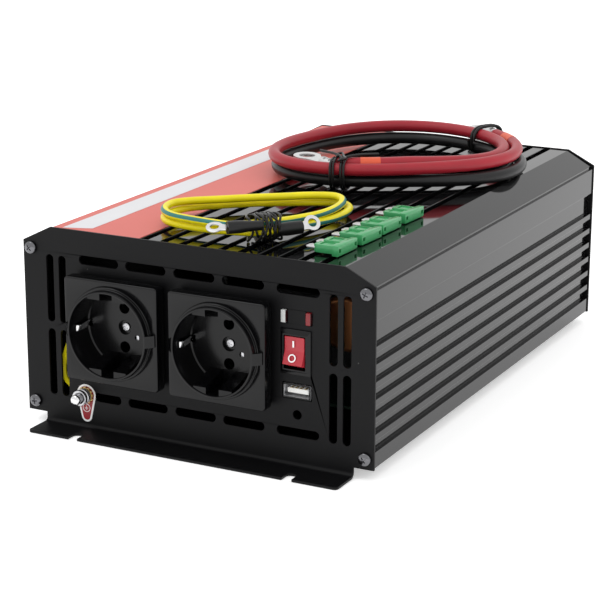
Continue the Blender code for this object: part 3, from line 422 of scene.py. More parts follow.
class Paint:
    """A material being mixed; constants go straight to the shader's sockets."""

    def __init__(self, name, colour, roughness, metallic=0.0, **constants):
        self.material = bpy.data.materials.new(name)
        self.material.use_nodes = True
        self.nodes = self.material.node_tree.nodes
        self.links = self.material.node_tree.links
        self.shader = self.nodes["Principled BSDF"]
        self.set("Base Color", (*colour, 1.0))
        self.set("Roughness", roughness)
        self.set("Metallic", metallic)
        for key, value in constants.items():
            self.set(key.replace("_", " ").title().replace("Ior", "IOR"), value)

    def set(self, socket, value):
        if isinstance(value, Value):
            self.links.new(value.socket, self.shader.inputs[socket])
        else:
            self.shader.inputs[socket].default_value = value

    def node(self, kind, settings, inputs, output=0):
        made = self.nodes.new(kind)
        for key, value in settings.items():
            if key == "stops":
                ramp = made.color_ramp.elements
                while len(ramp) < len(value):
                    ramp.new(0.5)
                for element, (place, colour) in zip(ramp, value):
                    element.position = place
                    element.color = (*colour, 1.0)
            else:
                setattr(made, key, value)
        for key, value in inputs.items():
            if isinstance(value, Value):
                self.links.new(value.socket, made.inputs[key])
            else:
                made.inputs[key].default_value = value
        return Value(self, made.outputs[output])

    def place(self, scale=(1.0, 1.0, 1.0)):
        """Object coordinates, stretched."""
        spot = self.node("ShaderNodeTexCoord", {}, {}, "Object")
        return self.node("ShaderNodeMapping", {}, {"Vector": spot, "Scale": scale})

    def noise(self, scale, stretch=(1.0, 1.0, 1.0), detail=2.0):
        return self.node("ShaderNodeTexNoise", {},
                         {"Vector": self.place(stretch), "Scale": scale, "Detail": detail})

    def blend(self, mask, first, second):
        """Two colours mixed by a mask."""
        return self.node("ShaderNodeMix", {"data_type": "RGBA"},
                         {0: mask, 6: (*first, 1.0) if isinstance(first, tuple) else first,
                          7: (*second, 1.0) if isinstance(second, tuple) else second}, 2)

    def step(self, value, low, high):
        """A smooth rise from 0 at low to 1 at high."""
        return self.node("ShaderNodeMapRange", {"interpolation_type": "SMOOTHSTEP"},
                         {0: value, 1: low, 2: high, 3: 0.0, 4: 1.0})

    def emboss(self, height, strength, distance):
        bump = self.node("ShaderNodeBump", {}, {"Strength": strength, "Height": height,
                                                "Distance": distance}, "Normal")
        self.set("Normal", bump)


def shaded(colour, factor):
    return tuple(min(1.0, channel * factor) for channel in colour)


# ---- finishes ----------------------------------------------------------
def case_finish(colours):
    """Gloss black anodising over an extrusion's fine draw lines."""
    paint = Paint("case_black", colours.case, 0.06, specular_ior_level=0.38)
    draw = paint.noise(900.0, (1.0, 0.004, 1.0), 3.0)
    cloud = paint.noise(35.0)
    paint.set("Roughness", 0.02 + 0.03 * draw + 0.03 * cloud)
    paint.emboss(draw, 0.12, 0.00001)


def panel_finish(colours):
    """Fine-textured black powder coat with a few specks of dust."""
    paint = Paint("panel_black", colours.panel, 0.42, specular_ior_level=0.17)
    grain = paint.noise(2600.0, detail=1.0)
    cloud = paint.noise(18.0)
    specks = paint.node("ShaderNodeTexVoronoi", {}, {"Vector": paint.place(), "Scale": 42.0})
    dust = 1.0 - paint.step(specks, 0.006, 0.013)
    paint.set("Base Color", paint.blend(dust, tuple(colours.panel), (0.12, 0.12, 0.12)))
    paint.set("Roughness", 0.36 + 0.1 * grain + 0.08 * cloud)
    paint.emboss(grain, 0.25, 0.00004)


def plastic_finish(name, colour, roughness, grain_strength=0.15, **constants):
    """Moulded plastic with a light grain."""
    colour = tuple(colour)
    paint = Paint(name, colour, roughness, **constants)
    grain = paint.noise(1800.0, detail=2.0)
    cloud = paint.noise(60.0)
    paint.set("Base Color", paint.blend(cloud, shaded(colour, 0.9), shaded(colour, 1.1)))
    paint.set("Roughness", roughness - 0.04 + 0.08 * cloud)
    paint.emboss(grain, grain_strength, 0.00003)


def metal_finish(name, colour, roughness, scratch=0.1, stretch=(1.0, 1.0, 1.0)):
    """Plated metal with fine handling marks and a little dulling."""
    colour = tuple(colour)
    paint = Paint(name, colour, roughness, 1.0)
    marks = paint.noise(1500.0, stretch, 3.0)
    cloud = paint.noise(220.0)
    paint.set("Base Color", paint.blend(cloud, shaded(colour, 0.82), shaded(colour, 1.08)))
    paint.set("Roughness", roughness - scratch / 2 + scratch * marks + 0.06 * cloud)
    paint.emboss(marks, 0.1, 0.00002)


def jacket_finish(name, colour, roughness):
    """Soft cable jacket, a little dull where it was handled."""
    colour = tuple(colour)
    paint = Paint(name, colour, roughness, specular_ior_level=0.36)
    cloud = paint.noise(90.0, detail=3.0)
    skin = paint.noise(1400.0)
    paint.set("Base Color", paint.blend(cloud, shaded(colour, 0.85), shaded(colour, 1.15)))
    paint.set("Roughness", roughness - 0.07 + 0.16 * cloud)
    paint.emboss(skin, 0.12, 0.00003)


def label_finish(name, colour):
    """Printed vinyl under a clear film."""
    colour = tuple(colour)
    paint = Paint(name, colour, 0.42, specular_ior_level=0.16)
    cloud = paint.noise(40.0)
    fibre = paint.noise(700.0)
    paint.set("Base Color", paint.blend(cloud, shaded(colour, 0.95), shaded(colour, 1.04)))
    paint.emboss(fibre, 0.05, 0.00002)


def fuse_finish(colours):
    """Tinted clear plastic with moulded sparkle."""
    colour = tuple(colours.fuse)
    paint = Paint("fuse_green", colour, 0.16, transmission_weight=0.35, ior=1.49)
    cells = paint.node("ShaderNodeTexVoronoi", {}, {"Vector": paint.place(), "Scale": 620.0})
    cloud = paint.noise(400.0)
    paint.set("Base Color", paint.blend(cloud, shaded(colour, 0.35), shaded(colour, 1.9)))
    paint.emboss(cells, 0.8, 0.0005)


def mix_all(colours):
    case_finish(colours)
    panel_finish(colours)
    plastic_finish("plastic_black", colours.plastic, 0.2, specular_ior_level=0.3)
    # a darker copy of the black plastic: painted shade for the fan frame inside the case
    plastic_finish("plastic_shaded", shaded(colours.plastic, 0.6), 0.42)
    plastic_finish("switch_red", colours.switch, 0.3, 0.05)
    plastic_finish("mark_white", (0.85, 0.85, 0.85), 0.4)
    plastic_finish("usb_white", (0.8, 0.8, 0.78), 0.35)
    plastic_finish("knob_red", shaded(colours.switch, 0.8), 0.35)
    plastic_finish("lamp_clear", (0.62, 0.63, 0.62), 0.14, 0.9, transmission_weight=0.2)
    # near black for the lamps' right sides: painted shade
    plastic_finish("lamp_shaded_side", (0.03, 0.006, 0.007), 0.15)
    plastic_finish("lamp_red", (0.24, 0.008, 0.013), 0.12, 0.02, transmission_weight=0.2)
    plastic_finish("tie_black", (0.005, 0.005, 0.005), 0.3, specular_ior_level=0.35)
    plastic_finish("sleeve_black", (0.005, 0.005, 0.005), 0.38, specular_ior_level=0.35)
    plastic_finish("band_orange", colours.band, 0.4)
    plastic_finish("board_green", (0.006, 0.03, 0.015), 0.5)
    plastic_finish("ferrite", (0.03, 0.03, 0.033), 0.6)
    plastic_finish("sign_red", (0.30, 0.012, 0.02), 0.3)
    metal_finish("zinc", (0.62, 0.62, 0.64), 0.3)
    metal_finish("chrome", (0.82, 0.82, 0.83), 0.12, 0.05)
    metal_finish("black_oxide", (0.17, 0.17, 0.18), 0.12, 0.06)
    metal_finish("yellow_zinc", (0.72, 0.55, 0.22), 0.28)
    metal_finish("brass", (0.72, 0.52, 0.22), 0.25)
    metal_finish("tinned", (0.80, 0.80, 0.82), 0.24, 0.12)
    # the choke's copper is much darker than copper's own colour: painted shade, as it sits deep
    # inside the case
    metal_finish("copper", (0.11, 0.045, 0.022), 0.35, 0.1, (1.0, 12.0, 1.0))
    jacket_finish("jacket_red", colours.red_lead, 0.38)
    jacket_finish("jacket_black", colours.black_lead, 0.36)
    jacket_finish("earth_yellow", colours.earth_yellow, 0.36)
    jacket_finish("earth_green", colours.earth_green, 0.36)
    label_finish("label_salmon", colours.label)
    label_finish("label_edge", shaded(colours.label, 0.72))
    label_finish("label_white", (0.72, 0.72, 0.74))
    fuse_finish(colours)


# ---- stage -------------------------------------------------------------
CAMERA_PLACE = (0.4386, -0.8906, 0.3203)
CAMERA_TURN = 27.11             # degrees to the right of straight ahead
CAMERA_RISE = 16.18
CAMERA_ROLL = 0.17
CAMERA_LENS = 116.03
FLOOR_GLOW = 0.42               # keeps the floor as pale as its surroundings


def studio_light(name, place, target, size, power):
    data = bpy.data.lights.new(name, "AREA")
    data.shape = "RECTANGLE"
    data.size, data.size_y = size
    data.energy = power
    lamp = new_object(name, data)
    lamp.location = place
    aim = (Vector(target) - Vector(place)).to_track_quat("-Z", "Y")
    lamp.rotation_euler = aim.to_euler()


def studio_world():
    """White surroundings, even all round."""
    world = bpy.data.worlds.new("studio")
    bpy.context.scene.world = world
    world.use_nodes = True
    background = world.node_tree.nodes["Background"]
    background.inputs["Color"].default_value = (1.0, 1.0, 1.0, 1.0)
    background.inputs["Strength"].default_value = 1.0


def build_stage(sizes):
    data = bpy.data.cameras.new("camera")
    data.lens = CAMERA_LENS
    data.sensor_width = 36.0
    camera = new_object("camera", data)
    camera.matrix_world = (Matrix.Translation(CAMERA_PLACE)
                           @ Matrix.Rotation(math.radians(CAMERA_TURN), 4, "Z")
                           @ Matrix.Rotation(math.radians(90.0 - CAMERA_RISE), 4, "X")
                           @ Matrix.Rotation(math.radians(CAMERA_ROLL), 4, "Z"))
    bpy.context.scene.camera = camera
    bpy.context.scene.view_settings.view_transform = "Standard"
    studio_world()
    studio_light("key", (-0.5, -0.5, 1.3), (0, 0, 0.05), (0.9, 0.6), 2.6)
    studio_light("fill", (1.3, -0.4, 0.9), (0, 0, 0.05), (0.8, 0.8), 0.8)
    paint = Paint("floor_white", (0.97, 0.97, 0.97), 0.6, specular_ior_level=0.1)
    paint.set("Roughness", 0.55 + 0.1 * paint.noise(8.0))
    paint.set("Emission Color", (1.0, 1.0, 1.0, 1.0))
    paint.set("Emission Strength", FLOOR_GLOW)
    bpy.ops.object.select_all(action="DESELECT")
    bpy.ops.mesh.primitive_plane_add(size=sizes.floor, location=(0, 0, -0.0002))
    floor = bpy.context.object
    floor.name = "floor"
    floor.data.materials.append(paint.material)


# ---- stowed battery leads ----------------------------------------------
LEAD_R = 3.2
COIL_X = 14.6
COIL_Y = 193.9
COIL_INSET = 7.0                # the inner half turn lies this far inside
TURN_START = -99.0              # degrees from +X, at the front lug
TURN_END = 422.0
TURN_STEP = 4.0
START_RISE = 2.0                # the red lead starts this much higher
START_INSET = 0.8               # and this much further out
CLIMB_OVER = 60.0               # degrees over which it comes down
INNER_END = 70.0                # degrees, where the inner turn begins to widen
WIDEN_OVER = 90.0
LUG_REACH = 24.0
# mean radius, then cosine and sine parts of one, two and three waves a turn
RED_SHAPE = (61.4, -2.6, 3.7, -3.2, 5.2, 2.9, -1.0)
BLACK_SHAPE = (60.9, -1.2, 5.2, -0.4, 4.6, 3.2, -1.5)
RED_Z = TOP + 11.6
BLACK_Z = TOP + 4.9


def coil_point(shape, degrees, z, inset=None):
    """A point of a lead's centreline, degrees round its coil."""
    a = math.radians(degrees)
    r = shape[0]
    for k in (1, 2, 3):
        r += shape[2 * k - 1] * math.cos(k * a) + shape[2 * k] * math.sin(k * a)
    if inset is None:
        t = min(max((degrees - INNER_END) / WIDEN_OVER, 0.0), 1.0)
        inset = COIL_INSET * (1 - t * t * (3 - 2 * t))
        climb = min(max(-degrees / CLIMB_OVER, 0.0), 1.0)
        z += START_RISE * climb if shape is RED_SHAPE else 0.0
        inset -= START_INSET * climb
    return at(COIL_X + (r - inset) * math.cos(a), COIL_Y + (r - inset) * math.sin(a), z)


def coil_line(shape, z, start=TURN_START, end=TURN_END):
    count = round((end - start) / TURN_STEP)
    return [coil_point(shape, start + (end - start) * i / count, z)
            for i in range(count + 1)]


def battery_lug(name, node, start, direction, z_drop):
    """A ring lug: a barrel with two crimps, and a flat palm with its hole."""
    along = Vector((*direction, -z_drop / LUG_REACH)).normalized()
    barrel = lathe(name, [(0, 0), (0, 2.3), (0.3, 3.0), (10.2, 3.0), (11.4, 2.4),
                          (12.4, 0)], (0, 0, 0), "X", 32)
    barrel.data.transform(Matrix.Translation(-at(0, 0, 0)))
    for place in (3.2, 7.4):
        dent = lathe("dent", [(-3.6, 0), (-3.6, 1.1), (3.6, 1.1), (3.6, 0)], (0, 0, 0), "Y", 16)
        dent.data.transform(Matrix.Translation(Vector((place * MM, 0, 3.3 * MM))
                                               - at(0, 0, 0)))
        cut(barrel, dent)
    eye = LUG_REACH - 0.6
    palm = [(9.0, -3.4), (12.0, -4.0)]
    palm += arc(eye, 0, 7.2, -138, 138, 28)
    palm += [(12.0, 4.0), (9.0, 3.4)]
    flat = plate(name + "_palm", palm, [circle(eye, 0, 4.2)], -0.9, 0.9, "Z", 0.25)
    flat.data.transform(Matrix.Translation(-at(0, 0, 0)))
    unite(barrel, flat)
    barrel.data.transform(Matrix.Translation(start) @ lying_along(along))
    shade(barrel)
    return give(barrel, name, "battery_leads", "tinned", [node])


def build_battery_leads(sizes):
    for colour, shape, z, shown in (("red", RED_SHAPE, RED_Z, 0.550),
                                    ("black", BLACK_SHAPE, BLACK_Z, 0.545)):
        line = coil_line(shape, z)
        lead = rod(f"{colour}_battery_lead", line, LEAD_R, 5)
        give(lead, f"{colour}_battery_lead", "battery_leads", f"jacket_{colour}",
             [f"{colour}_lead"])
        front = battery_lug(f"{colour}_front_lug", f"{colour}_lug_front",
                            coil_point(shape, TURN_START - 1.8, z, COIL_INSET + 0.2),
                            (-0.90, 0.43), -1.0)
        rear = battery_lug(f"{colour}_rear_lug", f"{colour}_lug_rear",
                           coil_point(shape, TURN_END + 1.6, z, -0.6),
                           (-0.63, 0.78), 1.0)
        if colour == "red":
            for number, (start, end) in enumerate(((-87.5, -77.0), (403.0, 413.0))):
                band = wire("band", coil_line(shape, z, start, end), LEAD_R + 0.12, 5)
                give(band, f"orange_band_{number + 1}", "battery_leads",
                                   "band_orange")


# ---- ties round the battery leads --------------------------------------
WRAP_STEPS = 28                 # points in a turn
WRAP_CORNER = 0.7               # 1 winds an ellipse, less squares its corners


def wrap_line(centre, run, half_w, low, high, turns, pitch, wobble=0.0):
    """A wire's line wound round a bundle: a round-cornered loop, turn on turn."""
    along = Vector((*run, 0)).normalized()
    side = Vector((-along.y, along.x, 0))
    points = []
    mid = (low + high) / 2
    half_h = (high - low) / 2
    for i in range(round(turns * WRAP_STEPS) + 1):
        t = 2 * math.pi * i / WRAP_STEPS
        u = math.copysign(abs(math.cos(t)) ** WRAP_CORNER, math.cos(t)) * half_w
        v = math.copysign(abs(math.sin(t)) ** WRAP_CORNER, math.sin(t)) * half_h
        turn = i / WRAP_STEPS
        slide = (turn - turns / 2) * pitch
        slide += wobble * math.sin(2.3 * t + 1.7 * turn) + wobble * 0.6 * math.cos(0.61 * t)
        puff = 1 + 0.05 * math.sin(3.1 * t + turn) * (1 if wobble else 0)
        points.append(at(*centre, mid) + (side * u * puff + along * slide) * MM
                      + Vector((0, 0, v * puff * MM)))
    return points


def build_lead_ties(sizes):
    radius = sizes.tie_wire / MM / 2
    low = TOP + 0.3 + radius
    red_top = RED_Z + LEAD_R
    wires = []
    for x, y in ((5.6, 135.0), (10.9, 136.2)):
        loop = wrap_line((x, y), (0.97, 0.22), 8.0, low, red_top + radius + 0.6, 2.0, 1.5)
        wires.append(wire("front_loop", loop, radius * 0.8))
    ends = [
        [(9.0, 132.0, 16.0), (11.5, 130.0, 17.2), (12.0, 134.0, 17.4), (9.0, 138.0, 17.0),
         (5.4, 143.6, 17.5), (3.5, 141.0, 17.0), (6.5, 136.0, 17.2)],
        [(10.0, 134.0, 16.6), (6.0, 138.0, 17.6), (-1.0, 142.5, 17.5), (-8.4, 146.3, 17.0)],
        [(9.0, 133.0, 16.4), (12.5, 138.0, 17.6), (16.5, 145.0, 17.5), (22.0, 152.0, 17.0)],
    ]
    for line in ends:
        points = [at(x, y, TOP + z) for x, y, z in line]
        wires.append(wire("end", spline_through(points, 5), radius * 0.85))
    give(together(*wires), "front_lead_tie", "battery_leads", "tie_black",
         ["lead_tie_front"])
    rear = wire("rear_loop", wrap_line((39.6, 254.6), (-0.88, 0.47), 10.4, low,
                                       red_top + radius + 0.2, 2.0, 2.2), radius)
    give(rear, "rear_lead_tie", "battery_leads", "tie_black",
         ["lead_tie_rear"])


# ---- stowed earth lead -------------------------------------------------
EARTH_LEAD_R = 1.85
# the lead's route, mm: x, y behind the front panel, height over the top
EARTH_ROUTE = [
    (16.0, 13.0, 9.4), (20.5, 18.2, 9.2), (24.0, 27.0, 8.6), (27.5, 36.0, 7.6),
    (31.5, 44.5, 7.4), (36.3, 56.5, 7.4), (38.0, 68.5, 7.6), (36.0, 81.0, 7.6),
    (31.7, 89.4, 7.6), (25.0, 92.6, 7.6), (15.0, 87.4, 7.8), (4.5, 79.0, 7.8),
    (-6.0, 71.2, 7.8), (-19.0, 60.0, 7.8), (-30.0, 50.6, 7.8), (-35.0, 42.5, 7.8),
    (-33.6, 33.0, 7.8), (-28.3, 25.0, 7.9), (-20.3, 19.6, 8.0), (-9.5, 17.4, 8.0),
    (5.3, 17.4, 7.6), (15.5, 21.6, 6.4), (22.6, 28.6, 4.6), (29.6, 40.0, 3.8),
    (35.8, 53.5, 3.8), (39.3, 65.5, 3.8), (38.9, 80.5, 3.8), (35.0, 90.6, 3.8),
    (27.0, 95.4, 3.8), (15.5, 90.6, 3.8), (3.0, 83.2, 3.8), (-9.0, 75.2, 3.8),
    (-21.7, 64.0, 3.8), (-31.5, 53.0, 3.8), (-34.8, 41.0, 3.8), (-32.6, 30.5, 3.9),
    (-24.4, 22.3, 4.0), (-10.5, 18.9, 4.0), (3.4, 19.4, 4.0), (14.0, 20.6, 4.2),
    (21.0, 20.4, 4.8), (27.0, 21.6, 5.6), (30.6, 27.4, 6.0),
]
STRIPE_SHARE = 0.17             # of the way round, covered by the stripe
# share of the route, and degrees the stripe leans outwards from the top there
STRIPE_LEANS = ((0.0, 105.0), (0.1, 100.0), (0.2, 45.0), (0.32, 40.0), (0.42, 60.0),
                (0.5, 62.0), (0.6, 110.0), (0.72, 165.0), (1.0, 170.0))


def stripe_lean(share):
    """How far the stripe leans at a share of the lead's route."""
    for (low, a), (high, b) in zip(STRIPE_LEANS, STRIPE_LEANS[1:]):
        if share <= high:
            return a + (b - a) * (share - low) / (high - low)
    return STRIPE_LEANS[-1][1]


def striped_tube(name, line, radius, sides):
    """A tube with two materials: the second one lies along its stripe."""
    bm = bmesh.new()
    rings = []
    for i, place in enumerate(line):
        ahead = line[min(i + 1, len(line) - 1)] - line[max(i - 1, 0)]
        ahead.normalize()
        outward = ahead.cross(Vector((0, 0, 1))).normalized()
        up = outward.cross(ahead)
        tilt = math.radians(stripe_lean(i / (len(line) - 1)))
        mark = up * math.cos(tilt) + outward * math.sin(tilt)
        across = mark.cross(ahead)
        ring = []
        for k in range(sides):
            a = 2 * math.pi * k / sides
            reach = mark * math.cos(a) + across * math.sin(a)
            ring.append(bm.verts.new(place + reach * radius * MM))
        rings.append(ring)
    for low, high in zip(rings, rings[1:]):
        for k in range(sides):
            j = (k + 1) % sides
            face = bm.faces.new((low[k], low[j], high[j], high[k]))
            face.material_index = int(min(k + 0.5, sides - k - 0.5) < STRIPE_SHARE * sides / 2)
    bm.faces.new(rings[0])
    bm.faces.new(rings[-1])
    bmesh.ops.recalc_face_normals(bm, faces=bm.faces)
    mesh = bpy.data.meshes.new(name)
    bm.to_mesh(mesh)
    bm.free()
    return shade(new_object(name, mesh), 60.0)


def sleeve(name, node, start, end, radii):
    """A shrunk sleeve from start to end, fuller over the crimp."""
    reach = (end - start).length / MM
    count = len(radii) - 1
    profile = [(0, 0), (0, radii[0] - 0.3)]
    profile += [(reach * i / count, r) for i, r in enumerate(radii)]
    profile += [(reach, radii[-1] - 0.3), (reach, 0)]
    obj = lathe(name, profile, (0, 0, 0), "X", 28)
    along = (end - start).normalized()
    obj.data.transform(Matrix.Translation(start) @ lying_along(along)
                       @ Matrix.Translation(-at(0, 0, 0)))
    return give(shade(obj, 40.0), name, "earth_lead", "sleeve_black", [node])


def small_lug(name, node, start, along, roll):
    """A small ring terminal, rolled about its own length."""
    reach = 5.6
    outline = [(0, -1.8), (1.2, -2.0)] + arc(reach, 0, 3.9, -142, 142, 28)
    outline += [(1.2, 2.0), (0, 1.8)]
    flat = plate(name, outline, [circle(reach, 0, 2.1)], -0.45, 0.45, "Z", 0.2)
    flat.data.transform(Matrix.Translation(start) @ lying_along(along)
                        @ Matrix.Rotation(math.radians(roll), 4, "X")
                        @ Matrix.Translation(-at(0, 0, 0)))
    return give(shade(flat), name, "earth_lead", "tinned", [node])


def build_earth_lead(sizes):
    points = [at(x, y, TOP + z) for x, y, z in EARTH_ROUTE]
    line = spline_through(points, 5)
    lead = striped_tube("earth_lead_wire", line, EARTH_LEAD_R, 24)
    give(lead, "earth_lead_wire", "earth_lead", ["earth_yellow", "earth_green"],
         ["ground_lead"])
    for number, tail, head, eye, roll, radii in (
            (1, (26.5, 17.5, 9.4), (15.3, 5.75, 9.6), (9.4, 3.9, 9.6), -20.0,
             (2.3, 2.4, 2.6, 2.9, 3.0, 2.9)),
            (2, (30.5, 25.0, 6.0), (38.6, 34.2, 6.4), (41.4, 39.2, 7.6), 50.0,
             (2.8, 3.0, 3.2, 3.2, 3.1, 3.0))):
        start, end, ring = [at(x, y, TOP + z) for x, y, z in (tail, head, eye)]
        sleeve(f"earth_sleeve_{number}", f"ground_sleeve_{number}",
                             start, end, radii)
        along = (ring - end).normalized()
        small_lug(f"earth_lug_{number}", f"ground_lug_{number}",
                                end + along * 0.2 * MM, along, roll)
    radius = sizes.tie_wire / MM / 2 * 0.68
    wrap = wire("wrap", wrap_line((24.5, 26.0), (0.68, 0.73), 7.2, TOP + 1.2,
                                  TOP + 12.6, 9.0, 1.15, 0.9), radius)
    loose = wire("loose", wrap_line((19.0, 21.5), (0.75, 0.65), 6.6, TOP + 1.2,
                                    TOP + 12.2, 2.0, 2.4, 1.0), radius)
    ties = give(together(wrap, loose), "earth_lead_tie", "earth_lead", "tie_black",
                ["ground_tie"])
    round(length_of(line), 3)


# ---- case --------------------------------------------------------------
LABEL_RIGHT = -29.0
LABEL_T = 0.12


def build_case(sizes):
    shell = settle(soften(copy_of("case_shell"), sizes.case_rounding / MM, 2, 28.0))
    give(shell, "case_body", "case", "case_black", ["case_shell"])
    coat("base_plate", "panel_black")


def label_bar(name, x0, x1, y0, y1, layer, slant=0.0):
    """A plain printed shape on the label: a bar, its front end slanted."""
    low = TOP + 0.02 + LABEL_T * layer
    outline = [(x0, y0), (x1, y0 + slant), (x1, y1), (x0, y1)]
    return plate(name, outline, [], low, low + LABEL_T, "Z")


def build_label(sizes):
    back = LENGTH - 1.5
    front = 0.6
    edge = label_bar("label_edge", -TOP_HALF_W + 0.3, LABEL_RIGHT, front, back, 0)
    give(edge, "label_border", "case", "label_edge")
    face = label_bar("face", -TOP_HALF_W + 0.9, LABEL_RIGHT - 0.3, front + 0.5, back - 0.6, 1)
    give(face, "label_face", "case", "label_salmon")
    band = label_bar("band", -71.6, -58.1, 2.6, back - 8.0, 2, 5.0)
    give(band, "label_band", "case", "label_white")


# ---- end panels --------------------------------------------------------
VENT_W = 4.0
VENT_XS = (-77.7, -70.8, 72.0, 78.8)
VENT_SPANS = ((15.0, 48.0), (51.5, 84.5))
LOUVRE_XS = (-50.4, -24.9, 0.9, 26.4, 54.3)
LOUVRE_ZS = (83.9, 17.2)
LOUVRE_L = 21.5
LOUVRE_H = 4.2
SCREW_X = 88.0
SCREW_ZS = (86.7, 10.4)
SOCKET_XS = (-38.7, 17.3)
SOCKET_Z = 53.0
COVER_W = 50.0
COVER_BASE_W = 47.6
PIN_PITCH = 19.0
SWITCH = (53.45, 55.4)
BEZEL_SLOPE = (1.5, 2.05)       # the bezel is this much smaller in front
USB = (53.9, 36.9)
LED_XS = (47.5, 59.9)
LED_Z = 71.6
KEYHOLE = (54.0, 25.7, 2.2)
EARTH = (-59.2, 17.5)
STUD_TURNS = 13
STUD_PITCH = 0.8
TAG_HEAD_R = 5.25
TAG_FOOT_R = 2.9
TAG_DROP = 10.6
FAN = (38.0, 52.0)
FAN_BORE_R = 33.0
POST_XS = (-28.0, -62.0)
POST_Z = 52.0
POST_TURNS = 14
POST_PITCH = 1.05
FLANGE_SLOT_X = 57.0
PANEL_RIM = 0.5


def panel_outline(low):
    """The sheet above its bend, with the neck that runs down to the flange."""
    half = CASE_HALF_W + PANEL_RIM
    shelf = CASE_LOW - PANEL_RIM
    right = [(FLANGE_HALF_W, low), (FLANGE_HALF_W, shelf), (half, shelf),
             (half, CHAMFER_FOOT + 0.2), (TOP_HALF_W + 0.2, TOP + PANEL_RIM)]
    return right + [(-x, z) for x, z in reversed(right)]


def bent_panel(name, face, out, holes, sizes):
    """A punched sheet with its foot bent out into a slotted flange."""
    bend = sizes.bend_radius / MM
    low, high = sorted((face, face - out * PANEL_T))
    panel = plate(name, panel_outline(PANEL_T + bend), holes, low, high)
    foot = (PANEL_T + bend + 0.05) * MM
    edit_faces(panel, lambda p, n: n.z < -0.9 and p.z < foot)
    bpy.ops.mesh.spin(steps=8, angle=-out * math.pi / 2, axis=(1, 0, 0),
                      center=at(0, face + out * bend, PANEL_T + bend))
    reach = (REACH - bend) * MM
    bpy.ops.mesh.extrude_region_move(
        TRANSFORM_OT_translate={"value": (0, out * reach, 0)})
    leave_edit()
    tip = at(0, face + out * REACH, 0).y
    edit_edges(panel, lambda p, q: abs(p.y - tip) + abs(q.y - tip) < 0.00002
               and abs(p.x - q.x) < 0.00001)
    bpy.ops.mesh.bevel(offset=2.0 * MM, segments=5, affect="EDGES")
    leave_edit()
    for x in (FLANGE_SLOT_X, -FLANGE_SLOT_X):
        end = face + out * (REACH - 4.2)
        outline = slot_hole(x, end + out * 4.0, 5.0, 13.0)
        cut(panel, plate("slot", outline, [], -2.0, 4.0, "Z"))
    return settle(soften(tidy(panel, False), sizes.panel_rounding / MM, 2, 40.0))


def screw_holes():
    return [circle(side * SCREW_X, z, 1.8, 16) for side in (-1, 1) for z in SCREW_ZS]


def build_front_panel(sizes):
    holes = screw_holes()
    for x in VENT_XS:
        for low, high in VENT_SPANS:
            holes.append(slot_hole(x, (low + high) / 2, VENT_W, high - low))
    for z in LOUVRE_ZS:
        for x in LOUVRE_XS:
            if z == LOUVRE_ZS[1] and x == LOUVRE_XS[0]:
                holes.append(slot_hole(-46.9, z, 14.5, LOUVRE_H))
            else:
                holes.append(slot_hole(x, z, LOUVRE_L, LOUVRE_H))
    for x in SOCKET_XS:
        holes.append(circle(x, SOCKET_Z, 22.6, 48))
    for x in LED_XS:
        holes.append(rounded(x, LED_Z, 3.2, 6.4, 0.5))
    holes.append(rounded(*SWITCH, 14.5, 20.0, 0.5))
    holes.append(rounded(*USB, 15.0, 7.6, 0.5))
    holes.append(circle(*KEYHOLE))
    holes.append(circle(*EARTH, 2.8, 24))
    panel = bent_panel("front", 0.0, -1, holes, sizes)
    give(panel, "front_plate", "case", "panel_black", ["front_panel"])


def build_rear_panel(sizes):
    holes = screw_holes()
    for i in range(-4, 5):
        x = i * 7.0
        reach = math.sqrt((FAN_BORE_R - 2) ** 2 - x ** 2)
        holes.append(slot_hole(FAN[0] + x, FAN[1], 4.6, 2 * reach))
    for x in POST_XS:
        holes.append(circle(x, POST_Z, 5.3, 24))
    panel = bent_panel("rear", LENGTH, 1, holes, sizes)
    give(panel, "rear_plate", "case", "panel_black", ["rear_panel"])


def build_screws(sizes):
    """Pan-head screws with a cross recess."""
    head_r = 3.1
    for end, face, out in (("front", 0.0, -1), ("rear", LENGTH, 1)):
        number = 0
        for side in (-1, 1):
            for z in SCREW_ZS:
                number += 1
                head = face + out * GAP
                shape = [(head - out * 9, 0), (head - out * 9, 1.5), (head, 1.5),
                         (head, head_r - 0.15), (head + out * 0.3, head_r)]
                shape += [(head + out * (0.5 + 1.4 * math.sin(a)), head_r * math.cos(a))
                          for a in [math.radians(15 * i) for i in range(1, 6)]]
                shape.append((head + out * 1.9, 0))
                screw = lathe("screw", shape, (side * SCREW_X, 0, z), "Y", 28)
                deep = head + out * 0.8
                y0, y1 = sorted((deep, head + out * 3))
                x = side * SCREW_X
                cross_recess(screw, x, z, y0, y1, 1.5, 0.28)
                turn_about(screw, at(x, 0, z), "Y", 20.0 + 31.0 * number)
                give(shade(screw), f"{end}_case_screw_{number}", "case", "black_oxide",
                     [f"{end}_screw_{number}"])


# ---- sockets -----------------------------------------------------------
def build_sockets(sizes):
    for name, x in zip(("socket_left", "socket_right"), SOCKET_XS):
        cover = socket_cover(x, sizes)
        give(cover, name + "_front", "case", "plastic_black",
             [name + "_cover"])
        strap = soften(copy_of(name + "_strap"), 0.25)
        give(strap, name + "_earth_clip", "case", "chrome",
             [name + "_strap"])
        screw = lathe("screw", [(3.9, 0), (3.9, 1.5), (4.1, 1.9), (4.5, 2.1), (4.5, 1.5),
                                (10.2, 1.5), (10.2, 0)], (x, 0, SOCKET_Z), "Y", 28)
        cross_recess(screw, x, SOCKET_Z, 1.0, 4.3, 1.2, 0.3)
        turn_about(screw, at(x, 0, SOCKET_Z), "Y", 24.0)
        give(shade(screw), name + "_centre_screw", "case", "zinc",
             [name + "_screw"])
        sliver = block("sliver", (x + 5.9, 4.0, SOCKET_Z - 6.3), (x + 7.2, 4.8, SOCKET_Z - 3.4))
        give(sliver, name + "_shutter_spring", "case", "zinc")


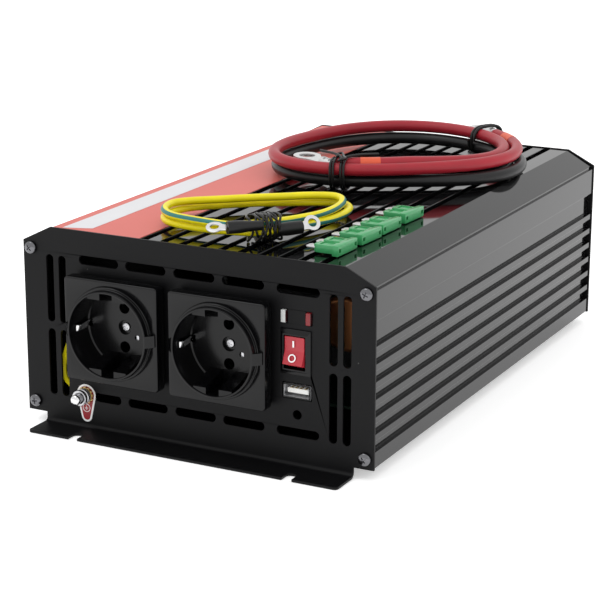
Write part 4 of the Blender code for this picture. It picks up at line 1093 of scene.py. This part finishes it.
def socket_cover(x, sizes):
    """Square cover, stepped collar and deep recess of one mains socket."""
    z = SOCKET_Z
    slab = plate("slab", rounded(x, z, COVER_W, COVER_W, 1.6), [circle(x, z, 22.1, 64)],
                 -9.2, -2.6, "Y", sizes.cover_rounding / MM, 3)
    base = plate("base", rounded(x, z, COVER_BASE_W, COVER_BASE_W, 1.2), [circle(x, z, 22.0, 64)],
                 -3.2, -GAP, "Y")
    unite(slab, base)
    ring = [(-8.4, 22.7), (-10.3, 22.6), (-10.6, 22.4), (-10.6, 21.7), (-10.8, 21.5),
            (-12.9, 21.3), (-13.2, 21.15), (-13.3, 20.9), (-13.3, 20.5), (-13.2, 20.3),
            (-12.9, 20.2), (2.6, 20.2), (3.2, 19.6), (3.2, 3.5), (3.4, 3.3), (4.8, 3.3),
            (4.8, 1.9), (5.8, 1.9), (5.8, 21.8), (-8.4, 21.8)]
    well = lathe("well", ring, (x, 0, z), "Y", 72, closed=True)
    unite(slab, well)
    for side in (-1, 1):
        ear = plate("ear", [(x + side * u, y) for u, y in (
            (20.4, -8.4), (20.4, -13.2), (21.0, -13.3), (24.2, -10.0), (24.2, -8.4))][::side],
            [], z - 2.8, z + 2.8, "Z")
        unite(slab, ear)
        for turn in (-1, 1):
            unite(slab, guide_block(x, z, turn, side))
        pin = lathe("pin", [(1.0, 0), (1.0, 3.0), (3.4, 2.75), (8.0, 2.75), (8.0, 0)],
                    (x, 0, z + side * PIN_PITCH / 2), "Y", 32)
        cut(slab, pin)
        ends = sorted((x + side * 17.6, x + side * 20.6))
        cut(slab, block("arm", (ends[0], -9.3, z - 1.8), (ends[1], 7.2, z + 1.8)))
    cut(slab, lathe("spring", [(1.0, 0), (1.0, 1.3), (5.2, 1.3), (5.2, 0)],
                    (x + 6.6, 0, z - 4.2), "Y", 20))
    return shade(slab, 30.0)


def guide_block(x, z, turn, side):
    """A wedge against the recess's wall, beside the notch for the plug."""
    near, far = 3.4, 10.0
    r = 21.0
    rim = []
    for k in range(5):
        u = near + (far - near) * k / 4
        rim.append((x + turn * u, z + side * math.sqrt(r * r - u * u)))
    outline = [(x + turn * far, z + side * 12.4), (x + turn * near, z + side * 12.4)] + rim
    if turn * side > 0:
        outline = outline[::-1]
    wedge = plate("guide", outline, [], -12.7, 3.6)
    tool = block("ramp", (x - 12.0, -13.4, z - 1.0), (x - 12.0 + 24.0, 3.3, z + 1.0))
    middle = at(0, -5.0, 0).y
    for vert in tool.data.vertices:
        rise = 17.0 if vert.co.y < middle else 12.5
        outer = (vert.co.z > z * MM) == (side > 0)
        vert.co.z = (z + side * (rise if outer else 0.0)) * MM
    return cut(wedge, tool)


# ---- switch, lamps, data port ------------------------------------------
def build_switch(sizes):
    x, z = SWITCH
    bezel = block("bezel", (x - 7.6, -1.8, z - 10.55), (x + 7.6, -GAP, z + 10.55))
    for vert in bezel.data.vertices:
        if vert.co.y < at(0, -1.0, 0).y:
            vert.co.x += math.copysign(BEZEL_SLOPE[0], x * MM - vert.co.x) * MM
            vert.co.z += math.copysign(BEZEL_SLOPE[1], z * MM - vert.co.z) * MM
    soften(bezel, 0.15)
    foot = block("foot", (x - 7.6, -0.7, z - 10.55), (x + 7.6, -GAP, z + 10.55), 0.12)
    unite(bezel, foot)
    housing = block("housing", (x - 6.95, -0.9, z - 9.7), (x + 6.95, 12.6, z + 9.7))
    unite(bezel, housing)
    cut(bezel, block("pocket", (x - 5.5, -3.0, z - 7.9), (x + 5.5, 11.1, z + 7.9), 0.3))
    give(shade(bezel), "switch_frame", "case", "plastic_black",
         ["switch_bezel"])
    rocker = soften(copy_of("switch_rocker"), 0.5, 3, 20.0)
    give(rocker, "rocker_cap", "rocker", "switch_red", ["switch_rocker"])
    # the marks lie on the two facets of the tilted cap
    pivot = at(x, 3.0, z)
    bar = block("bar", (x - 0.42, -3.0, z + 1.9), (x + 0.42, -2.72, z + 4.9), 0.1)
    ring = plate("ring", circle(x - 0.1, z - 3.4, 1.9, 40), [circle(x - 0.1, z - 3.4, 1.3, 40)],
                 -3.0, -2.72, "Y", 0.1)
    for mark, side in ((bar, 1), (ring, -1)):
        turn_about(mark, at(x, -2.1, z), "X", side * 11.5)
    marks = together(bar, ring)
    turn_about(marks, pivot, "X", -11.0)
    give(shade(marks), "rocker_marks", "rocker", "mark_white")


def build_lamps(sizes):
    for name, x, finish, slot in (("led_power", LED_XS[0], "lamp_clear", "clear_lens"),
                                  ("led_fault", LED_XS[1], "lamp_red", "red_lens")):
        lens = block("lens", (x - 1.3, -1.3, LED_Z - 2.9), (x + 1.3, 6.0, LED_Z + 2.9), 0.4, 3)
        # the faces turned to +X take the second finish, painted shade on each lamp's right side
        for face in lens.data.polygons:
            face.material_index = int(face.normal.x > 0.6)
        give(shade(lens), name + "_lens", "case", [finish, "lamp_shaded_side"], [name])


def build_usb(sizes):
    x, z = USB
    shell = soften(copy_of("usb_shell"), 0.15)
    # painted shade: the metal can's front lip is coloured as black plastic, where it looks dark
    rim = at(0, -0.1, 0).y
    for face in shell.data.polygons:
        face.material_index = int(face.normal.y < -0.5 and face.center.y < rim)
    give(shell, "usb_can", "case", ["zinc", "plastic_black"], ["usb_shell"])
    tongue = block("tongue", (x - 5.3, 1.0, z - 1.3), (x + 5.3, 12.2, z + 0.9), 0.2)
    give(shade(tongue), "usb_insert", "case", "usb_white", ["usb_tongue"])
    pads = []
    for i in range(4):
        mid = x - 3.5 + 7.0 * i / 3
        pads.append(block("pad", (mid - 0.55, 1.2, z + 0.85), (mid + 0.55, 10.0, z + 1.0)))
    give(together(*pads), "usb_pads", "case", "brass")


# ---- earth terminal ----------------------------------------------------
def build_earth_terminal(sizes):
    x, z = EARTH
    thread = [(4.5, 0), (4.5, 4.5), (1.6, 4.5), (1.6, 2.5)]
    for i in range(STUD_TURNS):
        y = 1.4 - STUD_PITCH * i
        thread += [(y, 2.5), (y - 0.4, 2.12)]
    thread += [(-9.2, 2.5), (-9.9, 2.35), (-10.5, 1.8), (-10.85, 0.9), (-10.9, 0)]
    stud = lathe("stud", thread, (x, 0, z), "Y", 32)
    give(stud, "earth_bolt", "case", "black_oxide", ["earth_stud"])
    tip = lathe("tip", [(-8.6, 0), (-8.6, 2.5), (-9.3, 2.62), (-9.9, 2.45), (-10.5, 1.9),
                        (-10.86, 1.0), (-10.9, 0)], (x, 0, z), "Y", 32)
    give(tip, "earth_bolt_tip", "case", "chrome")
    star = []
    for k in range(48):
        r = 4.3 if k % 4 in (0, 1) else 3.75
        star += circle(x, z, r, 48)[k:k + 1]
    washers = together(
        plate("star", star, [circle(x, z, 2.7)], -1.4, -GAP - 0.15, "Y", 0.12),
        plate("flat", circle(x, z, 3.9, 40), [circle(x, z, 2.7)], -1.9, -1.45, "Y", 0.1))
    give(shade(washers), "earth_washers", "case", "yellow_zinc",
         ["earth_washer"])
    nut = lathe("nut", [(-6.75, 2.75), (-6.75, 3.5), (-6.5, 3.8), (-4.9, 3.85), (-4.6, 3.4),
                        (-4.3, 3.4), (-4.0, 3.85), (-2.3, 3.9), (-2.0, 3.6), (-2.0, 2.75)],
                (x, 0, z), "Y", 48, closed=True)
    give(shade(nut, 25.0), "earth_hex_nut", "stud_nut", "zinc", ["earth_nut"])
    # the sign behind the terminal: a drop-shaped tag with the earth symbol
    give(drop_tag(x, z, 0.0, -0.02, -0.10), "earth_sign_border", "case", "mark_white")
    give(drop_tag(x, z, 0.95, -0.11, -0.16), "earth_sign_face", "case", "sign_red")
    low = z - 6.5
    lines = [plate("ring", circle(x, low, 2.1, 32), [circle(x, low, 1.8, 32)],
                   -0.22, -0.17, "Y"),
             block("stem", (x - 0.12, -0.22, low), (x + 0.12, -0.17, low + 1.1))]
    for drop, half in ((0.0, 0.95), (0.4, 0.6), (0.8, 0.28)):
        lines.append(block("bar", (x - half, -0.22, low - drop - 0.1),
                           (x + half, -0.17, low - drop + 0.1)))
    give(together(*lines), "earth_symbol", "case", "mark_white")


def drop_tag(x, z, inset, y_back, y_front):
    """A drop: a wide round head about the stud and a narrow round foot."""
    head = TAG_HEAD_R - inset
    foot = TAG_FOOT_R - inset
    foot_z = z - TAG_DROP
    lean = math.degrees(math.asin((TAG_HEAD_R - TAG_FOOT_R) / TAG_DROP))
    outline = arc(x, z, head, -lean, 180 + lean, 40)
    outline += arc(x, foot_z, foot, 180 + lean, 360 - lean, 24)
    return plate("tag", outline, [], y_front, y_back)


# ---- inside, fan and battery posts -------------------------------------
def build_inside(sizes):
    coat("main_board", "board_green")
    coat("transformer", "ferrite")
    coat("capacitor", "sleeve_black")
    coat("earth_wire", "earth_yellow")
    ring = soften(copy_of("choke"), 0.6, 3)
    # its copper finish carries painted shade for its place deep inside
    give(ring, "choke_winding", "case", "copper", ["choke"])


def build_fan(sizes):
    # the fan frame gets the darker copy of the black plastic, as painted shade
    coat("fan_frame", "plastic_shaded")
    rotor = soften(copy_of("fan_rotor"), 0.2)
    give(rotor, "fan_impeller", "fan", "plastic_black", ["fan_rotor"])


def build_posts(sizes):
    for name, x in zip(("positive", "negative"), POST_XS):
        shape = [(-7.6, 0), (-7.6, 7), (-1.6, 7), (-1.6, 5), (0.3, 5), (0.3, 7.6),
                 (0.6, 8), (3.0, 8), (3.3, 7.7), (3.3, 4.0)]
        for i in range(POST_TURNS):
            shape += [(3.6 + i * POST_PITCH, 4.0), (4.1 + i * POST_PITCH, 3.55)]
        shape += [(18.6, 4.0), (19.3, 3.2), (19.3, 0)]
        post = lathe("post", shape, (x, LENGTH, POST_Z), "Y", 36)
        give(post, f"{name}_terminal", "case", "brass", [f"post_{name}"])
        knob = soften(copy_of(f"knob_{name}"), 0.35, 2, 25.0)
        finish = "knob_red" if name == "positive" else "plastic_black"
        give(knob, f"{name}_knob_cap", f"{name}_knob", finish, [f"knob_{name}"])


# ---- spare fuses -------------------------------------------------------
FUSE_XS = (61.0, 61.7, 61.9, 62.2)
FUSE_YS = (22.9, 47.0, 68.7, 93.6)
FUSE_TURNS = (-1.5, -3.0, -2.0, -3.5)
FUSE_T = 5.1


def build_fuses(sizes):
    for i, (x, y, turn) in enumerate(zip(FUSE_XS, FUSE_YS, FUSE_TURNS)):
        z = TOP + GAP + FUSE_T / 2
        spot = at(x, y, z)
        head = block("head", (x + 3.45, y - 9.55, z - 2.5), (x + 6.65, y + 9.55, z + 2.5), 0.4)
        for side in (-1, 1):
            test = block("test", (x + 5.0, y + side * 7.6 - 1.0, z - 0.9),
                         (x + 7.0, y + side * 7.6 + 1.0, z + 0.9))
            cut(head, test)
        low = [(x + 3.8, y - 8.2), (x + 3.8, y + 8.2), (x - 5.2, y + 8.2), (x - 6.6, y + 7.2),
               (x - 6.6, y + 2.2), (x - 5.4, y + 1.6), (x - 5.4, y - 1.6), (x - 6.6, y - 2.2),
               (x - 6.6, y - 7.2), (x - 5.2, y - 8.2)]
        shell = plate("shell", low, [], z - 1.9, z + 1.9, "Z", 0.35)
        for side in (-1, 1):
            a, b = sorted((y + side * 1.6, y + side * 7.0))
            window = block("window", (x - 4.2, a, z + 1.3), (x + 2.0, b, z + 2.4), 0.2)
            cut(shell, window)
        unite(head, shell)
        ridge = block("ridge", (x - 5.4, y - 0.7, z + 1.0), (x + 3.2, y + 0.7, z + 2.3), 0.25)
        unite(head, ridge)
        cut(head, block("mouth", (x - 7.0, y - 7.5, z - 0.6), (x + 2.4, y + 7.5, z + 0.6)))
        turn_about(head, spot, "Z", turn)
        give(shade(head, 30.0), f"fuse_{i + 1}_shell", f"fuse_{i + 1}", "fuse_green",
             [f"fuse_{i + 1}_body"])
        blades = []
        for side in (-1, 1):
            a = y + side * 2.1
            b = y + side * 7.2
            outline = [(x + 1.8, a), (x - 10.4, a), (x - 11.2, a + side * 0.9),
                       (x - 11.2, b - side * 0.9), (x - 10.4, b), (x + 1.8, b)]
            if side > 0:
                outline = outline[::-1]
            blades.append(plate("blade", outline, [], z - 0.35, z + 0.35, "Z", 0.12))
        element = [at(x + 1.5, y - 3.0, z), at(x - 1.0, y - 1.6, z), at(x + 1.2, y, z),
                   at(x - 1.0, y + 1.6, z), at(x + 1.5, y + 3.0, z)]
        blades.append(wire("element", spline_through(element, 4), 0.3, 1))
        metal = together(*blades)
        turn_about(metal, spot, "Z", turn)
        give(shade(metal), f"fuse_{i + 1}_contacts", f"fuse_{i + 1}", "tinned",
             [f"fuse_{i + 1}_blades"])


# ---- settings ----------------------------------------------------------
def length_setting(name, default, text):
    return FloatProperty(name=name, default=default, unit="LENGTH", min=0.0, precision=5,
                         description=text)


def colour_setting(name, default, text):
    return FloatVectorProperty(name=name, default=default, size=3, subtype="COLOR",
                               min=0.0, max=1.0, description=text)


class InverterSizes(bpy.types.PropertyGroup):
    """Sizes of the fine shapes."""

    case_rounding: length_setting("Case edges", 0.00022, "Round on the extrusion's edges")
    panel_rounding: length_setting("Panel edges", 0.0002, "Round on the punched edges")
    bend_radius: length_setting("Bend", 0.0018, "Inner radius of the flange bends")
    cover_rounding: length_setting("Cover edges", 0.0006, "Round on the socket covers")
    tie_wire: length_setting("Tie wire", 0.0017, "Thickness of the tie wires")
    floor: length_setting("Floor", 14.0, "Width of the floor")


class InverterColours(bpy.types.PropertyGroup):
    """Colours of the finishes."""

    case: colour_setting("Case", (0.004, 0.004, 0.0044), "Anodised case")
    panel: colour_setting("Panels", (0.003, 0.003, 0.0035), "Powder-coated end panels")
    plastic: colour_setting("Plastic", (0.002, 0.002, 0.0024), "Sockets and switch frame")
    switch: colour_setting("Switch", (0.42, 0.022, 0.035), "Rocker cap")
    label: colour_setting("Label", (0.68, 0.155, 0.13), "Printed label")
    red_lead: colour_setting("Red lead", (0.36, 0.016, 0.028), "Positive lead's jacket")
    black_lead: colour_setting("Black lead", (0.006, 0.006, 0.0065), "Negative lead's jacket")
    band: colour_setting("Bands", (0.72, 0.10, 0.035), "Bands on the red lead")
    earth_yellow: colour_setting("Earth yellow", (0.88, 0.76, 0.004), "Earth lead's jacket")
    earth_green: colour_setting("Earth green", (0.03, 0.19, 0.17), "Earth lead's stripe")
    fuse: colour_setting("Fuses", (0.03, 0.30, 0.11), "Fuse bodies")


# ---- operators ---------------------------------------------------------
class INVERTER_OT_finishes(bpy.types.Operator):
    """Mix every finish from the colours"""

    bl_idname = "inverter.finishes"
    bl_label = "Finishes"

    def execute(self, context):
        mix_all(context.scene.inverter_colours)
        return {"FINISHED"}


class INVERTER_OT_stage(bpy.types.Operator):
    """Set the camera, the lights and the floor"""

    bl_idname = "inverter.stage"
    bl_label = "Stage"

    def execute(self, context):
        build_stage(context.scene.inverter_sizes)
        return {"FINISHED"}


class INVERTER_OT_battery_leads(bpy.types.Operator):
    """Wind the two battery leads with their lugs"""

    bl_idname = "inverter.battery_leads"
    bl_label = "Battery leads"

    def execute(self, context):
        build_battery_leads(context.scene.inverter_sizes)
        return {"FINISHED"}


class INVERTER_OT_lead_ties(bpy.types.Operator):
    """Twist the wire ties round the battery leads"""

    bl_idname = "inverter.lead_ties"
    bl_label = "Lead ties"

    def execute(self, context):
        build_lead_ties(context.scene.inverter_sizes)
        return {"FINISHED"}


class INVERTER_OT_earth_lead(bpy.types.Operator):
    """Fold the earth lead with its sleeves, lugs and tie"""

    bl_idname = "inverter.earth_lead"
    bl_label = "Earth lead"

    def execute(self, context):
        build_earth_lead(context.scene.inverter_sizes)
        return {"FINISHED"}


class INVERTER_OT_case(bpy.types.Operator):
    """Round the grooved case's edges"""

    bl_idname = "inverter.case"
    bl_label = "Case"

    def execute(self, context):
        build_case(context.scene.inverter_sizes)
        return {"FINISHED"}


class INVERTER_OT_label(bpy.types.Operator):
    """Lay the plain printed label on the case"""

    bl_idname = "inverter.label"
    bl_label = "Label"

    def execute(self, context):
        build_label(context.scene.inverter_sizes)
        return {"FINISHED"}


class INVERTER_OT_front_panel(bpy.types.Operator):
    """Punch and bend the front panel"""

    bl_idname = "inverter.front_panel"
    bl_label = "Front panel"

    def execute(self, context):
        build_front_panel(context.scene.inverter_sizes)
        return {"FINISHED"}


class INVERTER_OT_rear_panel(bpy.types.Operator):
    """Punch and bend the rear panel"""

    bl_idname = "inverter.rear_panel"
    bl_label = "Rear panel"

    def execute(self, context):
        build_rear_panel(context.scene.inverter_sizes)
        return {"FINISHED"}


class INVERTER_OT_screws(bpy.types.Operator):
    """Turn the panel screws"""

    bl_idname = "inverter.screws"
    bl_label = "Screws"

    def execute(self, context):
        build_screws(context.scene.inverter_sizes)
        return {"FINISHED"}


class INVERTER_OT_sockets(bpy.types.Operator):
    """Model the two mains sockets"""

    bl_idname = "inverter.sockets"
    bl_label = "Sockets"

    def execute(self, context):
        build_sockets(context.scene.inverter_sizes)
        return {"FINISHED"}


class INVERTER_OT_switch(bpy.types.Operator):
    """Model the rocker switch"""

    bl_idname = "inverter.switch"
    bl_label = "Switch"

    def execute(self, context):
        build_switch(context.scene.inverter_sizes)
        return {"FINISHED"}


class INVERTER_OT_lamps(bpy.types.Operator):
    """Model the two indicator lamps"""

    bl_idname = "inverter.lamps"
    bl_label = "Lamps"

    def execute(self, context):
        build_lamps(context.scene.inverter_sizes)
        return {"FINISHED"}


class INVERTER_OT_usb(bpy.types.Operator):
    """Model the small power port"""

    bl_idname = "inverter.usb"
    bl_label = "Data port"

    def execute(self, context):
        build_usb(context.scene.inverter_sizes)
        return {"FINISHED"}


class INVERTER_OT_earth_terminal(bpy.types.Operator):
    """Turn the earth stud, its nut and washers, with the sign"""

    bl_idname = "inverter.earth_terminal"
    bl_label = "Earth terminal"

    def execute(self, context):
        build_earth_terminal(context.scene.inverter_sizes)
        return {"FINISHED"}


class INVERTER_OT_inside(bpy.types.Operator):
    """Finish what shows through the vents"""

    bl_idname = "inverter.inside"
    bl_label = "Inside"

    def execute(self, context):
        build_inside(context.scene.inverter_sizes)
        return {"FINISHED"}


class INVERTER_OT_fan(bpy.types.Operator):
    """Finish the cooling fan"""

    bl_idname = "inverter.fan"
    bl_label = "Fan"

    def execute(self, context):
        build_fan(context.scene.inverter_sizes)
        return {"FINISHED"}


class INVERTER_OT_posts(bpy.types.Operator):
    """Turn the battery posts and their knobs"""

    bl_idname = "inverter.posts"
    bl_label = "Battery posts"

    def execute(self, context):
        build_posts(context.scene.inverter_sizes)
        return {"FINISHED"}


class INVERTER_OT_fuses(bpy.types.Operator):
    """Model the four spare blade fuses"""

    bl_idname = "inverter.fuses"
    bl_label = "Fuses"

    def execute(self, context):
        build_fuses(context.scene.inverter_sizes)
        return {"FINISHED"}


# in the order in which they run
STEPS = (
    INVERTER_OT_finishes,
    INVERTER_OT_stage,
    INVERTER_OT_battery_leads,
    INVERTER_OT_lead_ties,
    INVERTER_OT_earth_lead,
    INVERTER_OT_case,
    INVERTER_OT_label,
    INVERTER_OT_front_panel,
    INVERTER_OT_rear_panel,
    INVERTER_OT_screws,
    INVERTER_OT_sockets,
    INVERTER_OT_switch,
    INVERTER_OT_lamps,
    INVERTER_OT_usb,
    INVERTER_OT_earth_terminal,
    INVERTER_OT_inside,
    INVERTER_OT_fan,
    INVERTER_OT_posts,
    INVERTER_OT_fuses,
)


class INVERTER_PT_panel(bpy.types.Panel):
    """The steps, sizes and colours in the sidebar"""

    bl_idname = "INVERTER_PT_panel"
    bl_label = "Power Inverter"
    bl_space_type = "VIEW_3D"
    bl_region_type = "UI"
    bl_category = "Inverter"

    def draw(self, context):
        for step in STEPS:
            self.layout.operator(step.bl_idname)
        for group in (context.scene.inverter_sizes, context.scene.inverter_colours):
            column = self.layout.column(align=True)
            for key in group.bl_rna.properties.keys():
                if key not in ("rna_type", "name"):
                    column.prop(group, key)


CLASSES = (InverterSizes, InverterColours, *STEPS, INVERTER_PT_panel)


def register():
    for cls in CLASSES:
        bpy.utils.register_class(cls)
    bpy.types.Scene.inverter_sizes = PointerProperty(type=InverterSizes)
    bpy.types.Scene.inverter_colours = PointerProperty(type=InverterColours)


def unregister():
    del bpy.types.Scene.inverter_colours
    del bpy.types.Scene.inverter_sizes
    for cls in reversed(CLASSES):
        bpy.utils.unregister_class(cls)


def main():
    register()
    for step in STEPS:
        group, name = step.bl_idname.split(".")
        getattr(getattr(bpy.ops, group), name)()


if __name__ == "__main__":
    main()
